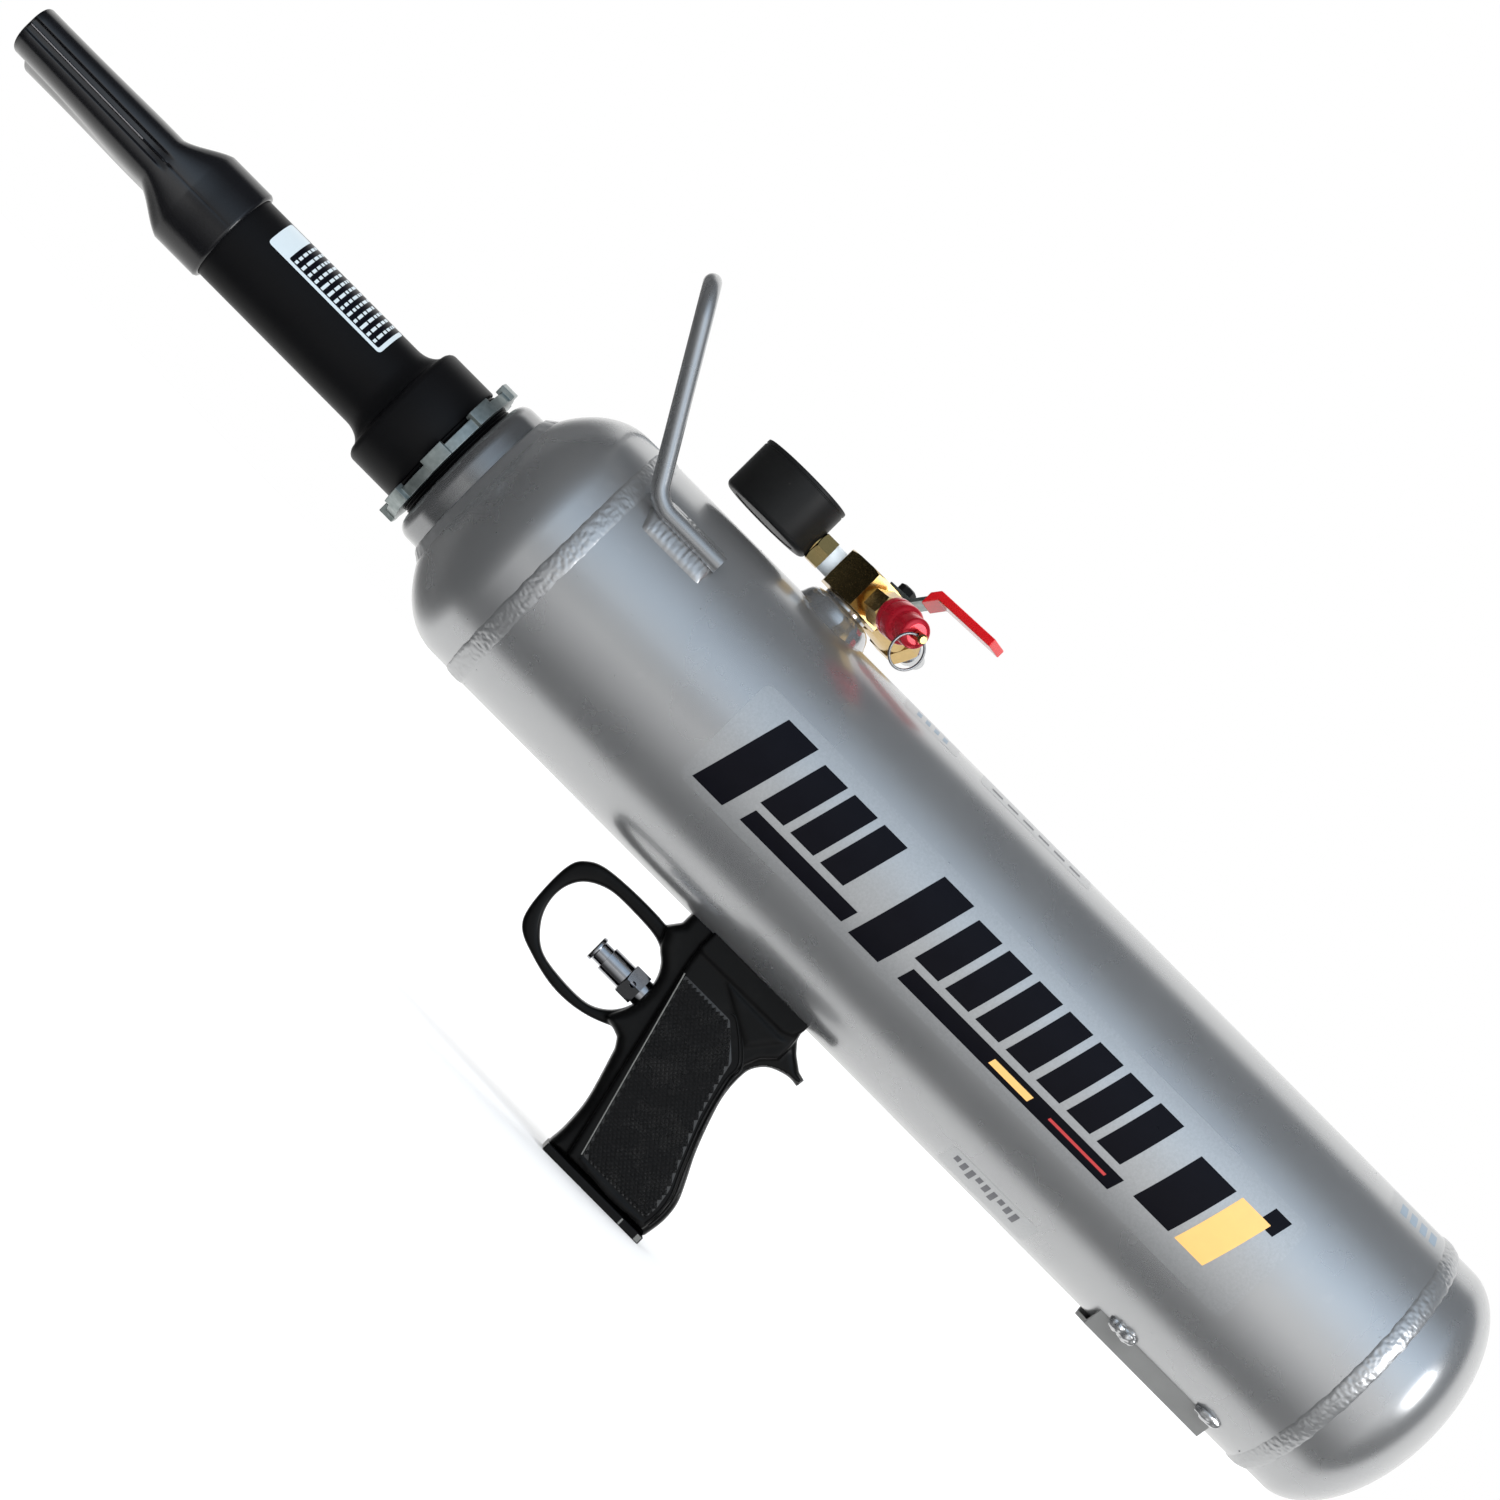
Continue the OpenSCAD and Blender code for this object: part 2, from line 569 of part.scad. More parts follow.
module sector_gear() color("goldenrod") {
    translate([sector_x, 0, gear_z]) rotate([0, 0, 180]) linear_extrude(height = 1.6) intersection() {
        difference() {
            gear_outline(wheel_teeth, -9, 1, 0.75);
            for (a = [-58, -30]) rotate(a) translate([6.2, 0]) circle(r = 1.6);
        }
        union() {
            polygon([[0, 0], [14, 3.4], [14, -20], [-4.2, -20]]);
            circle(r = 2);
        }
    }
    translate([sector_x, 0, axis_z + 82.6]) cylinder(r = 0.8, h = 4);
}

module gauge_dial() color("white") difference() {
    translate([gauge_x, 0, dial_z]) cylinder(r = 19.9, h = 0.8);
    translate([gauge_x, 0, dial_z - 1]) cylinder(r = 1.3, h = 3);
}

module gauge_needle() color("black") translate([gauge_x, 0, 0]) {
    translate([0, 0, axis_z + 82.6]) cylinder(r = 0.8, h = 9.4);
    translate([0, 0, gear_z]) rotate([0, 0, 18]) linear_extrude(height = 1.6)
        gear_outline(pinion_teeth, 0, pinion_teeth - 1, 0.75);
    translate([0, 0, axis_z + 91]) linear_extrude(height = 0.5) union() {
        rotate(135) polygon([[-6, -1], [14.6, -0.25], [14.6, 0.25], [-6, 1]]);
        circle(r = 2.2);
    }
}

module gauge_lens() color([0.8, 0.9, 0.95, 0.4]) translate([gauge_x, 0, axis_z + 95.5]) cylinder(r = 21.2, h = 1.8);

// ---------- safety valve ----------

module safety_body() color("goldenrod") difference() {
    union() {
        port(safety_port, block_face - thread_depth) cylinder(r = npt_r, h = thread_depth);
        port(safety_port, block_face) cylinder(r = 6, h = 4);
        port(safety_port, block_face + 3.9) turned_hex(14.4, 12.6);
        port(safety_port, block_face + 16) cylinder(r = 7.4, h = 9.5);
    }
    port(safety_port, 0) cylinder(r = 2.6, h = 24);
    port(safety_port, 20) cylinder(r = 5, h = 30);
}

module safety_cap() color("crimson") difference() {
    port(safety_port) rotate_extrude() polygon([[0, 33], [8.2, 33], [8.7, 33.5], [8.7, 43.2], [8.1, 44.6],
        [6.8, 45.2], [6.7, 53.6], [5.9, 54.8], [0, 54.8]]);
    port(safety_port, 30) cylinder(r = 7.4, h = 10.5);
    port(safety_port, 38) cylinder(r = 5, h = 13.5);
    port(safety_port, 38) cylinder(r = 1.7, h = 30);
}

module safety_stem() color("gold") difference() {
    port(safety_port) union() {
        translate([0, 0, 20.1]) cylinder(r = 4, h = 3.4);
        translate([0, 0, 23]) cylinder(r = 1.5, h = 34);
        translate([0, 0, 56]) cylinder(r = 2.2, h = 4.6);
        translate([0, 0, 60.6]) cylinder(r1 = 2.2, r2 = 1.5, h = 0.8);
    }
    port(safety_port, 58.5) rotate([90, 0, 0]) cylinder(r = 1, h = 10, center = true);
}

module safety_spring() color("silver") port(safety_port, 23.5) coil(3.6, 0.45, 28, 9);

module pull_ring() color([0.25, 0.22, 0.22]) port(safety_port, 58.5) translate([7.9, 0, 0])
    rotate_extrude() translate([7.9, 0]) circle(r = 0.68, $fn = 24);

// ---------- ball valve ----------

module ball_valve_body() color("goldenrod") difference() {
    union() {
        port(valve_port, block_face - thread_depth) cylinder(r = big_npt_r, h = thread_depth + 1);
        port(valve_port, block_face + 0.4) rotate([0, 0, 30]) turned_hex(17, 6.4);
        port(valve_port, 20) cylinder(r = 9.4, h = 26);
        port(valve_port, 45) rotate([0, 0, 30]) turned_hex(19, 10.4);
        port(valve_port, stem_d) rotate([0, -90, 0]) cylinder(r = 6, h = 10.2);
    }
    port(valve_port, 0) cylinder(r = 4.2, h = 60);
    port(valve_port, 20.6) cylinder(r = 7.8, h = 14.8);
    port(valve_port, 45) cylinder(r = big_npt_r, h = 20);
    port(valve_port, stem_d) rotate([0, -90, 0]) cylinder(r = 3.06, h = 30);
}

module ball_seats() color("white") difference() {
    for (d = [20.6, 31.4]) port(valve_port, d) ring(7.8, 4.4, 4);
    port(valve_port, stem_d) sphere(r = 7.3);
}

module valve_ball() color("gainsboro") difference() {
    port(valve_port, stem_d) sphere(r = 7.22);
    port(valve_port, stem_d) rotate([90, 0, 0]) cylinder(r = 4, h = 30, center = true);
    port(valve_port, stem_d) rotate([0, -90, 0]) translate([-1, -10, 5.4]) cube([2, 20, 5]);
}

module valve_stem() color("goldenrod") port(valve_port, stem_d) rotate([0, -90, 0]) {
    translate([0, 0, 7.3]) cylinder(r = 3, h = 8.5);
    intersection() {
        translate([-1, -10, 5.4]) cube([2, 20, 1.9 + eps]);
        cylinder(r = 3, h = 9);
    }
}

function stem_place(h) = [block_x + stem_d * cos(valve_port), stem_d * sin(valve_port), port_z + h];

// The lever's strip in its own plane: flat on the stem, up a slope, then level to its end
module lever_strip(half, from, to, width) {
    slope = atan2(lever_rise, slope_end - slope_start);
    mitre = half * tan(slope / 2);
    rotate([0, 0, lever_port]) rotate([90, 0, 0]) translate([0, 0, -width / 2])
        linear_extrude(height = width) intersection() {
            polygon([[-6, -half], [slope_start + mitre, -half], [slope_end + mitre, lever_rise - half],
                [to, lever_rise - half], [to, lever_rise + half], [slope_end - mitre, lever_rise + half],
                [slope_start - mitre, half], [-6, half]]);
            translate([from, -20]) square([100, 60]);
        }
}

module valve_lever() color("gainsboro") translate(stem_place(lever_z + lever_thick / 2)) difference() {
    lever_strip(lever_thick / 2, -6, lever_l, lever_w);
    cylinder(r = 3, h = 10, center = true);
}

module lever_sleeve() color("crimson") translate(stem_place(lever_z + lever_thick / 2)) difference() {
    lever_strip(lever_thick / 2 + sleeve_t, 11.5, lever_l + sleeve_t, lever_w + 2 * sleeve_t);
    lever_strip(lever_thick / 2, -6, lever_l, lever_w);
}

module lever_nut() color([0.08, 0.08, 0.08]) {
    translate(stem_place(10.3)) ring(6.2, 3, lever_z - 10.3);
    translate(stem_place(lever_z + lever_thick)) difference() {
        turned_hex(7.4, 3.6);
        translate([0, 0, -1]) cylinder(r = 3, h = 3.4);
    }
}

module air_plug() color("gainsboro") difference() {
    union() {
        port(valve_port, 47) cylinder(r = big_npt_r, h = 9);
        port(valve_port, 55.4) rotate([0, 0, 30]) turned_hex(14.3, 5);
        port(valve_port) rotate_extrude() polygon([[0, 60], [4.2, 60], [4.2, 64], [5.9, 65], [5.9, 68.5],
            [3.95, 69.6], [3.95, 77.6], [3.2, 78.4], [0, 78.4]]);
    }
    port(valve_port, 40) cylinder(r = 2.4, h = 50);
}

// ---------- grip ----------

module grip_side() polygon(concat(smooth_path(handle_front, 4), smooth_path(handle_back, 4), handle_tang, handle_top));

module layer_xz(w, y = 0) translate([0, y + w / 2, 0]) rotate([90, 0, 0]) linear_extrude(height = w) children();

module grip_frame() color([0.07, 0.07, 0.07]) difference() {
    union() {
        layer_xz(core_w) grip_side();
        layer_xz(grip_w - 2) intersection() {
            grip_side();
            polygon([[48, 120], [48, 98], [40, 93], [18, 3], [-25, 3], [-26, 15], [-7, 62], [-7, 86], [-21, 99], [-12, 120]]);
        }
        layer_xz(guard_w) difference() {
            polygon(smooth_loop(guard_outer, 4));
            polygon(smooth_loop(guard_inner, 4));
        }
    }
    rod_x(tank_r, -through, through);
    for (side = [-1, 1]) plate_xz(panel_outline, panel_t, side * (grip_w - panel_t) / 2);
    plate_xz(cavity_outline, 16);
    translate([grip_bolt_x, 0, 50]) cylinder(r = 4, h = 70);
    translate([grip_bolt_x, 0, 40]) cylinder(r = 6.6, h = 22);
    translate([pilot_x, 0, 98]) cylinder(r = 5, h = 30);
    translate([pilot_x, 0, trigger_z]) cylinder(r = pilot_bore_r, h = 30);
    translate([pilot_x - 2, 0, trigger_z]) rotate([0, 90, 0]) cylinder(r = pilot_bore_r, h = 12);
    translate([24, 0, trigger_z]) rotate([0, 90, 0]) cylinder(r = 5, h = 30);
    translate([42.4, 0, trigger_z]) rotate([0, 90, 0]) cylinder(r = 6.1, h = 12);
}

module grip_panel(side) color([0.1, 0.1, 0.1]) plate_xz(panel_outline, panel_t, side * (grip_w - panel_t) / 2);

module left_grip_panel() grip_panel(1);

module right_grip_panel() grip_panel(-1);

module butt_plate() color([0.06, 0.06, 0.06]) {
    translate([-27.7, -13.5, 0]) cube([55.4, 27, plate_top_z]);
    translate([-17, -8, plate_top_z - eps]) difference() {
        cube([35, 16, 6]);
        translate([2, 2, -1]) cube([31, 12, 8]);
    }
}

// ---------- trigger valve ----------

module on_trigger(x) translate([x, 0, trigger_z]) rotate([0, 90, 0]) children();

module trigger_body() color("dimgray") difference() {
    union() {
        on_trigger(24) cylinder(r = 5, h = 19);
        on_trigger(42.5) cylinder(r = 6, h = 2.6);
        on_trigger(45) rotate([0, 0, 30]) turned_hex(13.8, 8);
        on_trigger(52.9) cylinder(r = 5.75, h = 11.1);
    }
    on_trigger(54) cylinder(r = 4.68, h = 20);
    on_trigger(30) cylinder(r = 2.4, h = 40);
    on_trigger(25) cylinder(r = 4, h = 11);
    on_trigger(20) cylinder(r = pilot_bore_r, h = 10);
    // Vent across the hexagon, its seam turned clear of the bore's
    translate([49, 0, trigger_z]) rotate([90, 0, 0]) rotate(37) cylinder(r = 1.4, h = 20, center = true);
}

module trigger_spring() color("silver") on_trigger(25) coil(3, 0.35, 6.5, 5, 12, 5);

module trigger_button() color("dimgray") {
    on_trigger(31.5) cylinder(r = 3.6, h = 3);
    on_trigger(34.4) cylinder(r = 1.8, h = 26);
    on_trigger(60) cylinder(r = 4.6, h = 9);
    on_trigger(68.7) rotate_extrude() polygon([[0, 0], [5.3, 0], [5.65, 0.35], [5.65, 1.6], [5.2, 2], [0, 2]]);
}

module trigger_seal() color("black") on_trigger(34.5) ring(3.8, 1.8, 1.4);

tank_shell();
front_head();
rear_head();
front_weld_bead();
rear_weld_bead();
neck_collar();
neck_weld();
inlet_bung();
inlet_weld();
grip_boss();
pilot_nipple();
grip_bolt();
foot_bracket();
foot_welds();
carry_handle();
handle_welds();
valve_cage();
valve_cap();
pilot_tube();
pilot_nuts();
main_piston();
piston_seal();
piston_ring();
piston_spring();
barrel_tube();
barrel_seal();
nozzle();
lock_nut();
manifold_block();
manifold_nipple();
gauge_case();
gauge_stem();
gauge_tape();
gauge_movement();
bourdon_tube();
sector_gear();
gauge_dial();
gauge_needle();
gauge_lens();
safety_body();
safety_spring();
safety_cap();
safety_stem();
pull_ring();
ball_valve_body();
ball_seats();
valve_ball();
valve_stem();
valve_lever();
lever_sleeve();
lever_nut();
air_plug();
grip_frame();
left_grip_panel();
right_grip_panel();
butt_plate();
trigger_body();
trigger_spring();
trigger_button();
trigger_seal();
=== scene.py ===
import bmesh
import bpy
import json
import math
from mathutils import Matrix, Vector, noise


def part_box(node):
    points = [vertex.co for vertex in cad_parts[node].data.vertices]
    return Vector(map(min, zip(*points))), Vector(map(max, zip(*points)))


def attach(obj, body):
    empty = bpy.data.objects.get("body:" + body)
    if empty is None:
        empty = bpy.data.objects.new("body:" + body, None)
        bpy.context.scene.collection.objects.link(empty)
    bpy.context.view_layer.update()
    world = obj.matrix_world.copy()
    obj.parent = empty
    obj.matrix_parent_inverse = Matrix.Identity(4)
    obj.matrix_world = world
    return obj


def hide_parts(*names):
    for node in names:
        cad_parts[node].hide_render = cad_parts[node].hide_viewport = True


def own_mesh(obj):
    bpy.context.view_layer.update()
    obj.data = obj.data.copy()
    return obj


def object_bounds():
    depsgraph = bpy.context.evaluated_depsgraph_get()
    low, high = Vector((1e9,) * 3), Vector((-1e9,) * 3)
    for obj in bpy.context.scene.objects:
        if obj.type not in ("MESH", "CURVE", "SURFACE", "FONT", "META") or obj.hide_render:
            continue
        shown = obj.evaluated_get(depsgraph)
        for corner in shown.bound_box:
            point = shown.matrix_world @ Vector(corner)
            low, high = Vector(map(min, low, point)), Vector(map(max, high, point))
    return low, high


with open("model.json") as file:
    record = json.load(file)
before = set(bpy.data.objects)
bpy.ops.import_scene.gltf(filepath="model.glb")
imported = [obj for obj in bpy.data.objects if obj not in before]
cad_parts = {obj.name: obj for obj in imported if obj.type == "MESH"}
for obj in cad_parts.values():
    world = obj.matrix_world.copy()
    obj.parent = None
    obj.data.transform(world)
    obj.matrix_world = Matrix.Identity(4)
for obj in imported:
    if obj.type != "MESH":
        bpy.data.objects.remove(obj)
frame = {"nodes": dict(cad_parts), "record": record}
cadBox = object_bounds()
nodes = frame["nodes"]
bodyOf = {node: body for body, held in frame["record"]["behaviour"]["bodies"].items() for node in held}
mm = 0.001


def lo(node):
    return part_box(node)[0]


def hi(node):
    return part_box(node)[1]


def mid(node):
    return (lo(node) + hi(node)) / 2


tank = {
    "axisZ": mid("tank_shell").z,
    "radius": (hi("tank_shell").y - lo("tank_shell").y) / 2,
    "rearSeam": lo("tank_shell").x,
    "frontSeam": hi("tank_shell").x,
    "wall": 3 * mm,
}


class Val:
    # a socket that takes part in plain expressions
    def __init__(self, tree, socket):
        self.tree = tree
        self.socket = socket

    def math(self, operation, *others):
        node = self.tree.nodes.new("ShaderNodeMath")
        node.operation = operation
        for slot, value in zip(node.inputs, (self,) + others):
            plug(self.tree, slot, value)
        return Val(self.tree, node.outputs[0])

    def __add__(self, other):
        return self.math("ADD", other)

    def __sub__(self, other):
        return self.math("SUBTRACT", other)

    def __rsub__(self, other):
        return (self * -1) + other

    def __mul__(self, other):
        return self.math("MULTIPLY", other)

    def __truediv__(self, other):
        return self.math("DIVIDE", other)

    __radd__ = __add__
    __rmul__ = __mul__

    def above(self, edge, soft):
        # 0 below the edge, 1 over it, with a soft step
        return ((self - edge) / soft + 0.5).clamp()

    def clamp(self):
        return self.math("MINIMUM", 1.0).math("MAXIMUM", 0.0)


def plug(tree, slot, value):
    if isinstance(value, Val):
        tree.links.new(value.socket, slot)
    elif slot.type == "RGBA" and len(value) == 3:
        slot.default_value = (*value, 1)
    else:
        slot.default_value = value


shaderSockets = {
    "baseColor": "Base Color", "metallic": "Metallic", "roughness": "Roughness", "normal": "Normal",
    "coatWeight": "Coat Weight", "coatRoughness": "Coat Roughness", "coatIOR": "Coat IOR", "ior": "IOR",
    "specular": "Specular IOR Level", "transmission": "Transmission Weight", "alpha": "Alpha",
}


class Finish:
    # one material: its nodes, and the shader that they feed
    def __init__(self, name):
        self.material = bpy.data.materials.new(name)
        self.material.use_nodes = True
        self.tree = self.material.node_tree
        self.tree.nodes.clear()

    def node(self, kind, settings=None, out=0, **inputs):
        node = self.tree.nodes.new(kind)
        for key, value in (settings or {}).items():
            if key == "stops":
                setStops(node.color_ramp, value)
            else:
                setattr(node, key, value)
        for key, value in inputs.items():
            slot = node.inputs[int(key[1:])] if key[0] == "i" and key[1:].isdigit() else node.inputs[key]
            plug(self.tree, slot, value)
        return Val(self.tree, node.outputs[out])

    def place(self, scale=(1, 1, 1), turn=(0, 0, 0)):
        # object coordinates in millimetres
        spot = self.node("ShaderNodeTexCoord", out=3)
        big = tuple(s / mm for s in scale)
        return self.node("ShaderNodeMapping", Vector=spot, Scale=big, Rotation=turn)

    def noise(self, place, size, detail=3, rough=0.5):
        return self.node("ShaderNodeTexNoise", Vector=place, Scale=1 / size, Detail=detail, Roughness=rough)

    def cells(self, place, size):
        return self.node("ShaderNodeTexVoronoi", Vector=place, Scale=1 / size)

    def mix(self, amount, a, b):
        return self.node("ShaderNodeMix", {"data_type": "RGBA"}, out=2, i0=amount, i6=a, i7=b)

    def bump(self, height, depth, strength=1.0):
        # height runs 0 to 1 and depth is in millimetres
        return self.node("ShaderNodeBump", Height=height, Distance=depth * mm, Strength=strength)

    def surface(self, **values):
        shader = self.tree.nodes.new("ShaderNodeBsdfPrincipled")
        for key, value in values.items():
            plug(self.tree, shader.inputs[shaderSockets[key]], value)
        end = self.tree.nodes.new("ShaderNodeOutputMaterial")
        self.tree.links.new(shader.outputs[0], end.inputs["Surface"])
        return self.material


def setStops(ramp, stops):
    while len(ramp.elements) > 1:
        ramp.elements.remove(ramp.elements[0])
    ramp.elements[0].position = stops[0][0]
    ramp.elements[0].color = (*stops[0][1], 1)
    for spot, colour in stops[1:]:
        ramp.elements.new(spot).color = (*colour, 1)


def silverPaint(name, tone=0.45, peel=0.01, rough=0.25):
    f = Finish(name)
    p = f.place()
    cloud = f.noise(p, 45, 4)
    dust = f.noise(p, 7, 2, 0.5).above(0.7, 0.12)
    light = (tone * 1.06, tone * 1.07, tone * 1.08)
    dark = (tone * 0.9, tone * 0.91, tone * 0.93)
    colour = f.mix(dust * 0.05, f.mix(cloud, dark, light), (0.75, 0.74, 0.71))
    skin = f.noise(p, 3.4, 2)
    return f.surface(baseColor=colour, metallic=0.82, roughness=cloud * 0.05 + dust * 0.03 + rough,
                     coatWeight=0.5 - dust * 0.05, coatRoughness=0.06, coatIOR=1.5,
                     normal=f.bump(skin, peel, 0.35))


def plain(name, base, spread=0.12, metallic=0.0, rough=0.4, roughSpread=0.1, size=6.0, depth=0.02,
          coat=0.0, grain=0.8, stretch=(1, 1, 1), worn=None, specular=0.5):
    # a solid colour with drift in tone, drift in gloss, grain, and wear where worn gives a colour
    f = Finish(name)
    p = f.place(stretch)
    drift = f.noise(p, size, 4)
    fine = f.noise(p, grain, 3)
    dark = tuple(c * (1 - spread) for c in base)
    light = tuple(min(1, c * (1 + spread)) for c in base)
    colour = f.mix(drift, dark, light)
    if worn:
        colour = f.mix(f.noise(p, size * 0.4, 6, 0.75).above(0.68, 0.06) * 0.5, colour, worn)
    return f.surface(baseColor=colour, metallic=metallic, roughness=rough + (drift - 0.5) * roughSpread,
                     specular=specular, coatWeight=coat, coatRoughness=0.08,
                     normal=f.bump(fine, depth, 0.6))


def brushed(name, base, rough=0.3, along=0, size=3.0):
    # machined metal, with tool marks along one axis
    stretch = [1, 1, 1]
    stretch[along] = 0.04
    f = Finish(name)
    marks = f.noise(f.place(tuple(stretch)), 0.25, 4, 0.6)
    stain = f.noise(f.place(), size, 5, 0.6)
    dark = tuple(c * 0.72 for c in base)
    colour = f.mix(stain, base, dark)
    return f.surface(baseColor=colour, metallic=1.0, roughness=rough + (marks - 0.5) * 0.16 + stain * 0.06,
                     normal=f.bump(marks, 0.01, 0.5))


def moulded(name, base=0.005, rough=0.34, specular=0.35):
    # black moulded plastic with a fine spark texture, rubbed lighter in patches
    f = Finish(name)
    p = f.place()
    spark = f.noise(p, 0.5, 3, 0.6)
    rub = f.noise(p, 9, 5, 0.65).above(0.6, 0.2)
    colour = f.mix(rub * 0.35, (base, base, base * 1.02), (base * 2.6, base * 2.5, base * 2.4))
    return f.surface(baseColor=colour, roughness=rub * 0.1 + rough, specular=specular,
                     normal=f.bump(spark, 0.03, 0.5))


def galvanised(name):
    f = Finish(name)
    p = f.place()
    spangle = f.cells(p, 2.5)
    stain = f.noise(p, 2.5, 5, 0.7)
    colour = f.mix(stain, f.mix(spangle, (0.3, 0.34, 0.34), (0.52, 0.56, 0.56)), (0.22, 0.26, 0.25))
    return f.surface(baseColor=colour, metallic=0.9, roughness=stain * 0.2 + 0.24,
                     normal=f.bump(stain, 0.05, 0.5))


def glass(name):
    f = Finish(name)
    smear = f.noise(f.place(), 6, 4, 0.6).above(0.5, 0.5)
    return f.surface(baseColor=(1, 1, 1), roughness=0.02 + smear * 0.05, transmission=1.0, ior=1.45,
                     alpha=0.35)


def filmFinish(name):
    # clear decal film, a little duller and paler than the paint under it
    f = Finish(name)
    p = f.place()
    fleck = f.noise(p, 1.1, 5, 0.75)
    colour = f.mix(fleck, (0.36, 0.365, 0.37), (0.56, 0.57, 0.58))
    return f.surface(baseColor=colour, metallic=0.8, roughness=fleck * 0.12 + 0.3, coatWeight=0.35,
                     coatRoughness=0.2, normal=f.bump(fleck, 0.02, 0.5))


look = {
    "paint": silverPaint("tankPaint"),
    "rodPaint": silverPaint("handlePaint", 0.4, 0.006),
    "weldPaint": silverPaint("weldPaint", 0.46, 0.14, 0.34),
    "bungPaint": silverPaint("bungPaint", 0.55, 0.01, 0.1),
    "collarPaint": silverPaint("collarPaint", 0.27, 0.004, 0.14),
    "barrelBlack": plain("barrelBlack", (0.004, 0.004, 0.0045), rough=0.38, size=14, depth=0.03, grain=0.5,
                         specular=0.1),
    "nozzleBlack": plain("nozzleBlack", (0.005, 0.005, 0.006), rough=0.2, size=10, depth=0.04, grain=1.6,
                         specular=0.5),
    "caseBlack": plain("caseBlack", (0.009, 0.009, 0.009), rough=0.42, size=9, depth=0.04, grain=0.7,
                       worn=(0.04, 0.037, 0.032), specular=0.16),
    "zinc": galvanised("nutZinc"),
    "steel": brushed("turnedSteel", (0.6, 0.6, 0.61), 0.28),
    "spring": brushed("springWire", (0.42, 0.42, 0.43), 0.35),
    "darkChrome": brushed("darkChrome", (0.48, 0.49, 0.52), 0.09),
    "nickel": brushed("plugNickel", (0.72, 0.73, 0.74), 0.16),
    "brass": brushed("machinedBrass", (0.72, 0.5, 0.2), 0.22),
    "copper": brushed("tubeCopper", (0.78, 0.38, 0.22), 0.25),
    "redCap": plain("redAnodised", (0.5, 0.01, 0.025), 0.18, metallic=0.55, rough=0.26, size=5, depth=0.01,
                    coat=0.4),
    "redVinyl": plain("redVinyl", (0.6, 0.008, 0.012), 0.15, rough=0.22, size=7, depth=0.05, coat=0.5,
                      grain=2),
    "grip": moulded("gripPlastic", 0.003, 0.3, 0.14),
    "gripPanel": moulded("gripPanel", 0.01, 0.24, 0.65),
    # a pale grey that paints the highlight along the nozzle's parting line
    "ridgeHighlightPaint": plain("ridgeHighlightPaint", (0.22, 0.21, 0.215), 0.25, rough=0.35, size=14, depth=0.02),
    "pinLine": plain("pinLine", (0.16, 0.16, 0.15), rough=0.4, size=4),
    "blackPlastic": moulded("blackPlastic", 0.003, 0.32, 0.2),
    "seat": plain("seatPlastic", (0.85, 0.85, 0.83), 0.04, rough=0.45),
    "tape": plain("threadTape", (0.72, 0.78, 0.82), 0.1, rough=0.5, size=2, depth=0.12, grain=0.5,
                  stretch=(1, 1, 6)),
    "dial": plain("dialCard", (0.86, 0.86, 0.83), 0.03, rough=0.5, size=12, depth=0.01),
    "ink": plain("blackInk", (0.0025, 0.0025, 0.005), 0.2, rough=0.3, size=5, depth=0.01, specular=0.1),
    "orangeInk": plain("orangeInk", (0.83, 0.47, 0.14), 0.06, rough=0.35, size=5, depth=0.01, coat=0.3),
    "redInk": plain("redInk", (0.45, 0.03, 0.03), 0.15, rough=0.4, size=3, depth=0.01),
    "blueInk": plain("blueInk", (0.2, 0.26, 0.32), 0.15, rough=0.4, size=3, depth=0.01),
    "greyInk": plain("greyInk", (0.1, 0.1, 0.11), 0.15, rough=0.4, size=3, depth=0.01),
    "labelWhite": plain("labelWhite", (0.5, 0.57, 0.61), 0.04, rough=0.35, size=9, depth=0.01),
    "rubber": plain("sealRubber", (0.02, 0.02, 0.02), rough=0.7),
    "footPaint": plain("footPaint", (0.3, 0.3, 0.295), 0.1, metallic=0.5, rough=0.5, size=12, depth=0.03),
    "aluminium": brushed("pistonAluminium", (0.75, 0.75, 0.76), 0.3),
    "lens": glass("gaugeLens"),
    "film": filmFinish("decalFilm"),
}
print("finishes ready")


def finishPiece(name, bm, material, body, replaces=(), smoothAngle=40, recalc=True):
    bmesh.ops.remove_doubles(bm, verts=bm.verts, dist=1e-6)
    if recalc:
        bmesh.ops.recalc_face_normals(bm, faces=bm.faces)
    mesh = bpy.data.meshes.new(name)
    bm.to_mesh(mesh)
    bm.free()
    piece = bpy.data.objects.new(name, mesh)
    bpy.context.scene.collection.objects.link(piece)
    mats = material if isinstance(material, (list, tuple)) else [material]
    for m in mats:
        mesh.materials.append(look[m])
    mesh.shade_smooth()
    mesh.set_sharp_from_angle(angle=math.radians(smoothAngle))
    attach(piece, body)
    if replaces:
        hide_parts(*replaces)
    return piece


def spun(bm, points, centre, axis, across, steps=128):
    # turns a closed outline of (along, radius) about an axis
    axis = Vector(axis)
    across = Vector(across)
    verts = [bm.verts.new(centre + axis * a + across * r) for a, r in points]
    edges = [bm.edges.new(pair) for pair in zip(verts, verts[1:] + verts[:1])]
    bmesh.ops.spin(bm, geom=verts + edges, cent=centre, axis=axis, angle=math.tau, steps=steps,
                   use_merge=True, use_duplicate=False)


def rounded(points, radius, steps=4):
    # a closed outline with its corners turned into arcs, where a corner's third value gives its own radius
    out = []
    n = len(points)
    for i, corner in enumerate(points):
        here = Vector(corner[:2])
        size = corner[2] if len(corner) > 2 else radius
        before = Vector(points[i - 1][:2]) - here
        after = Vector(points[(i + 1) % n][:2]) - here
        cut = min(size, before.length * 0.49, after.length * 0.49)
        if cut < 1e-7:
            out.append(tuple(here))
            continue
        a = here + before.normalized() * cut
        b = here + after.normalized() * cut
        for k in range(steps + 1):
            t = k / steps
            out.append(tuple(a.lerp(here, t).lerp(here.lerp(b, t), t)))
    return out


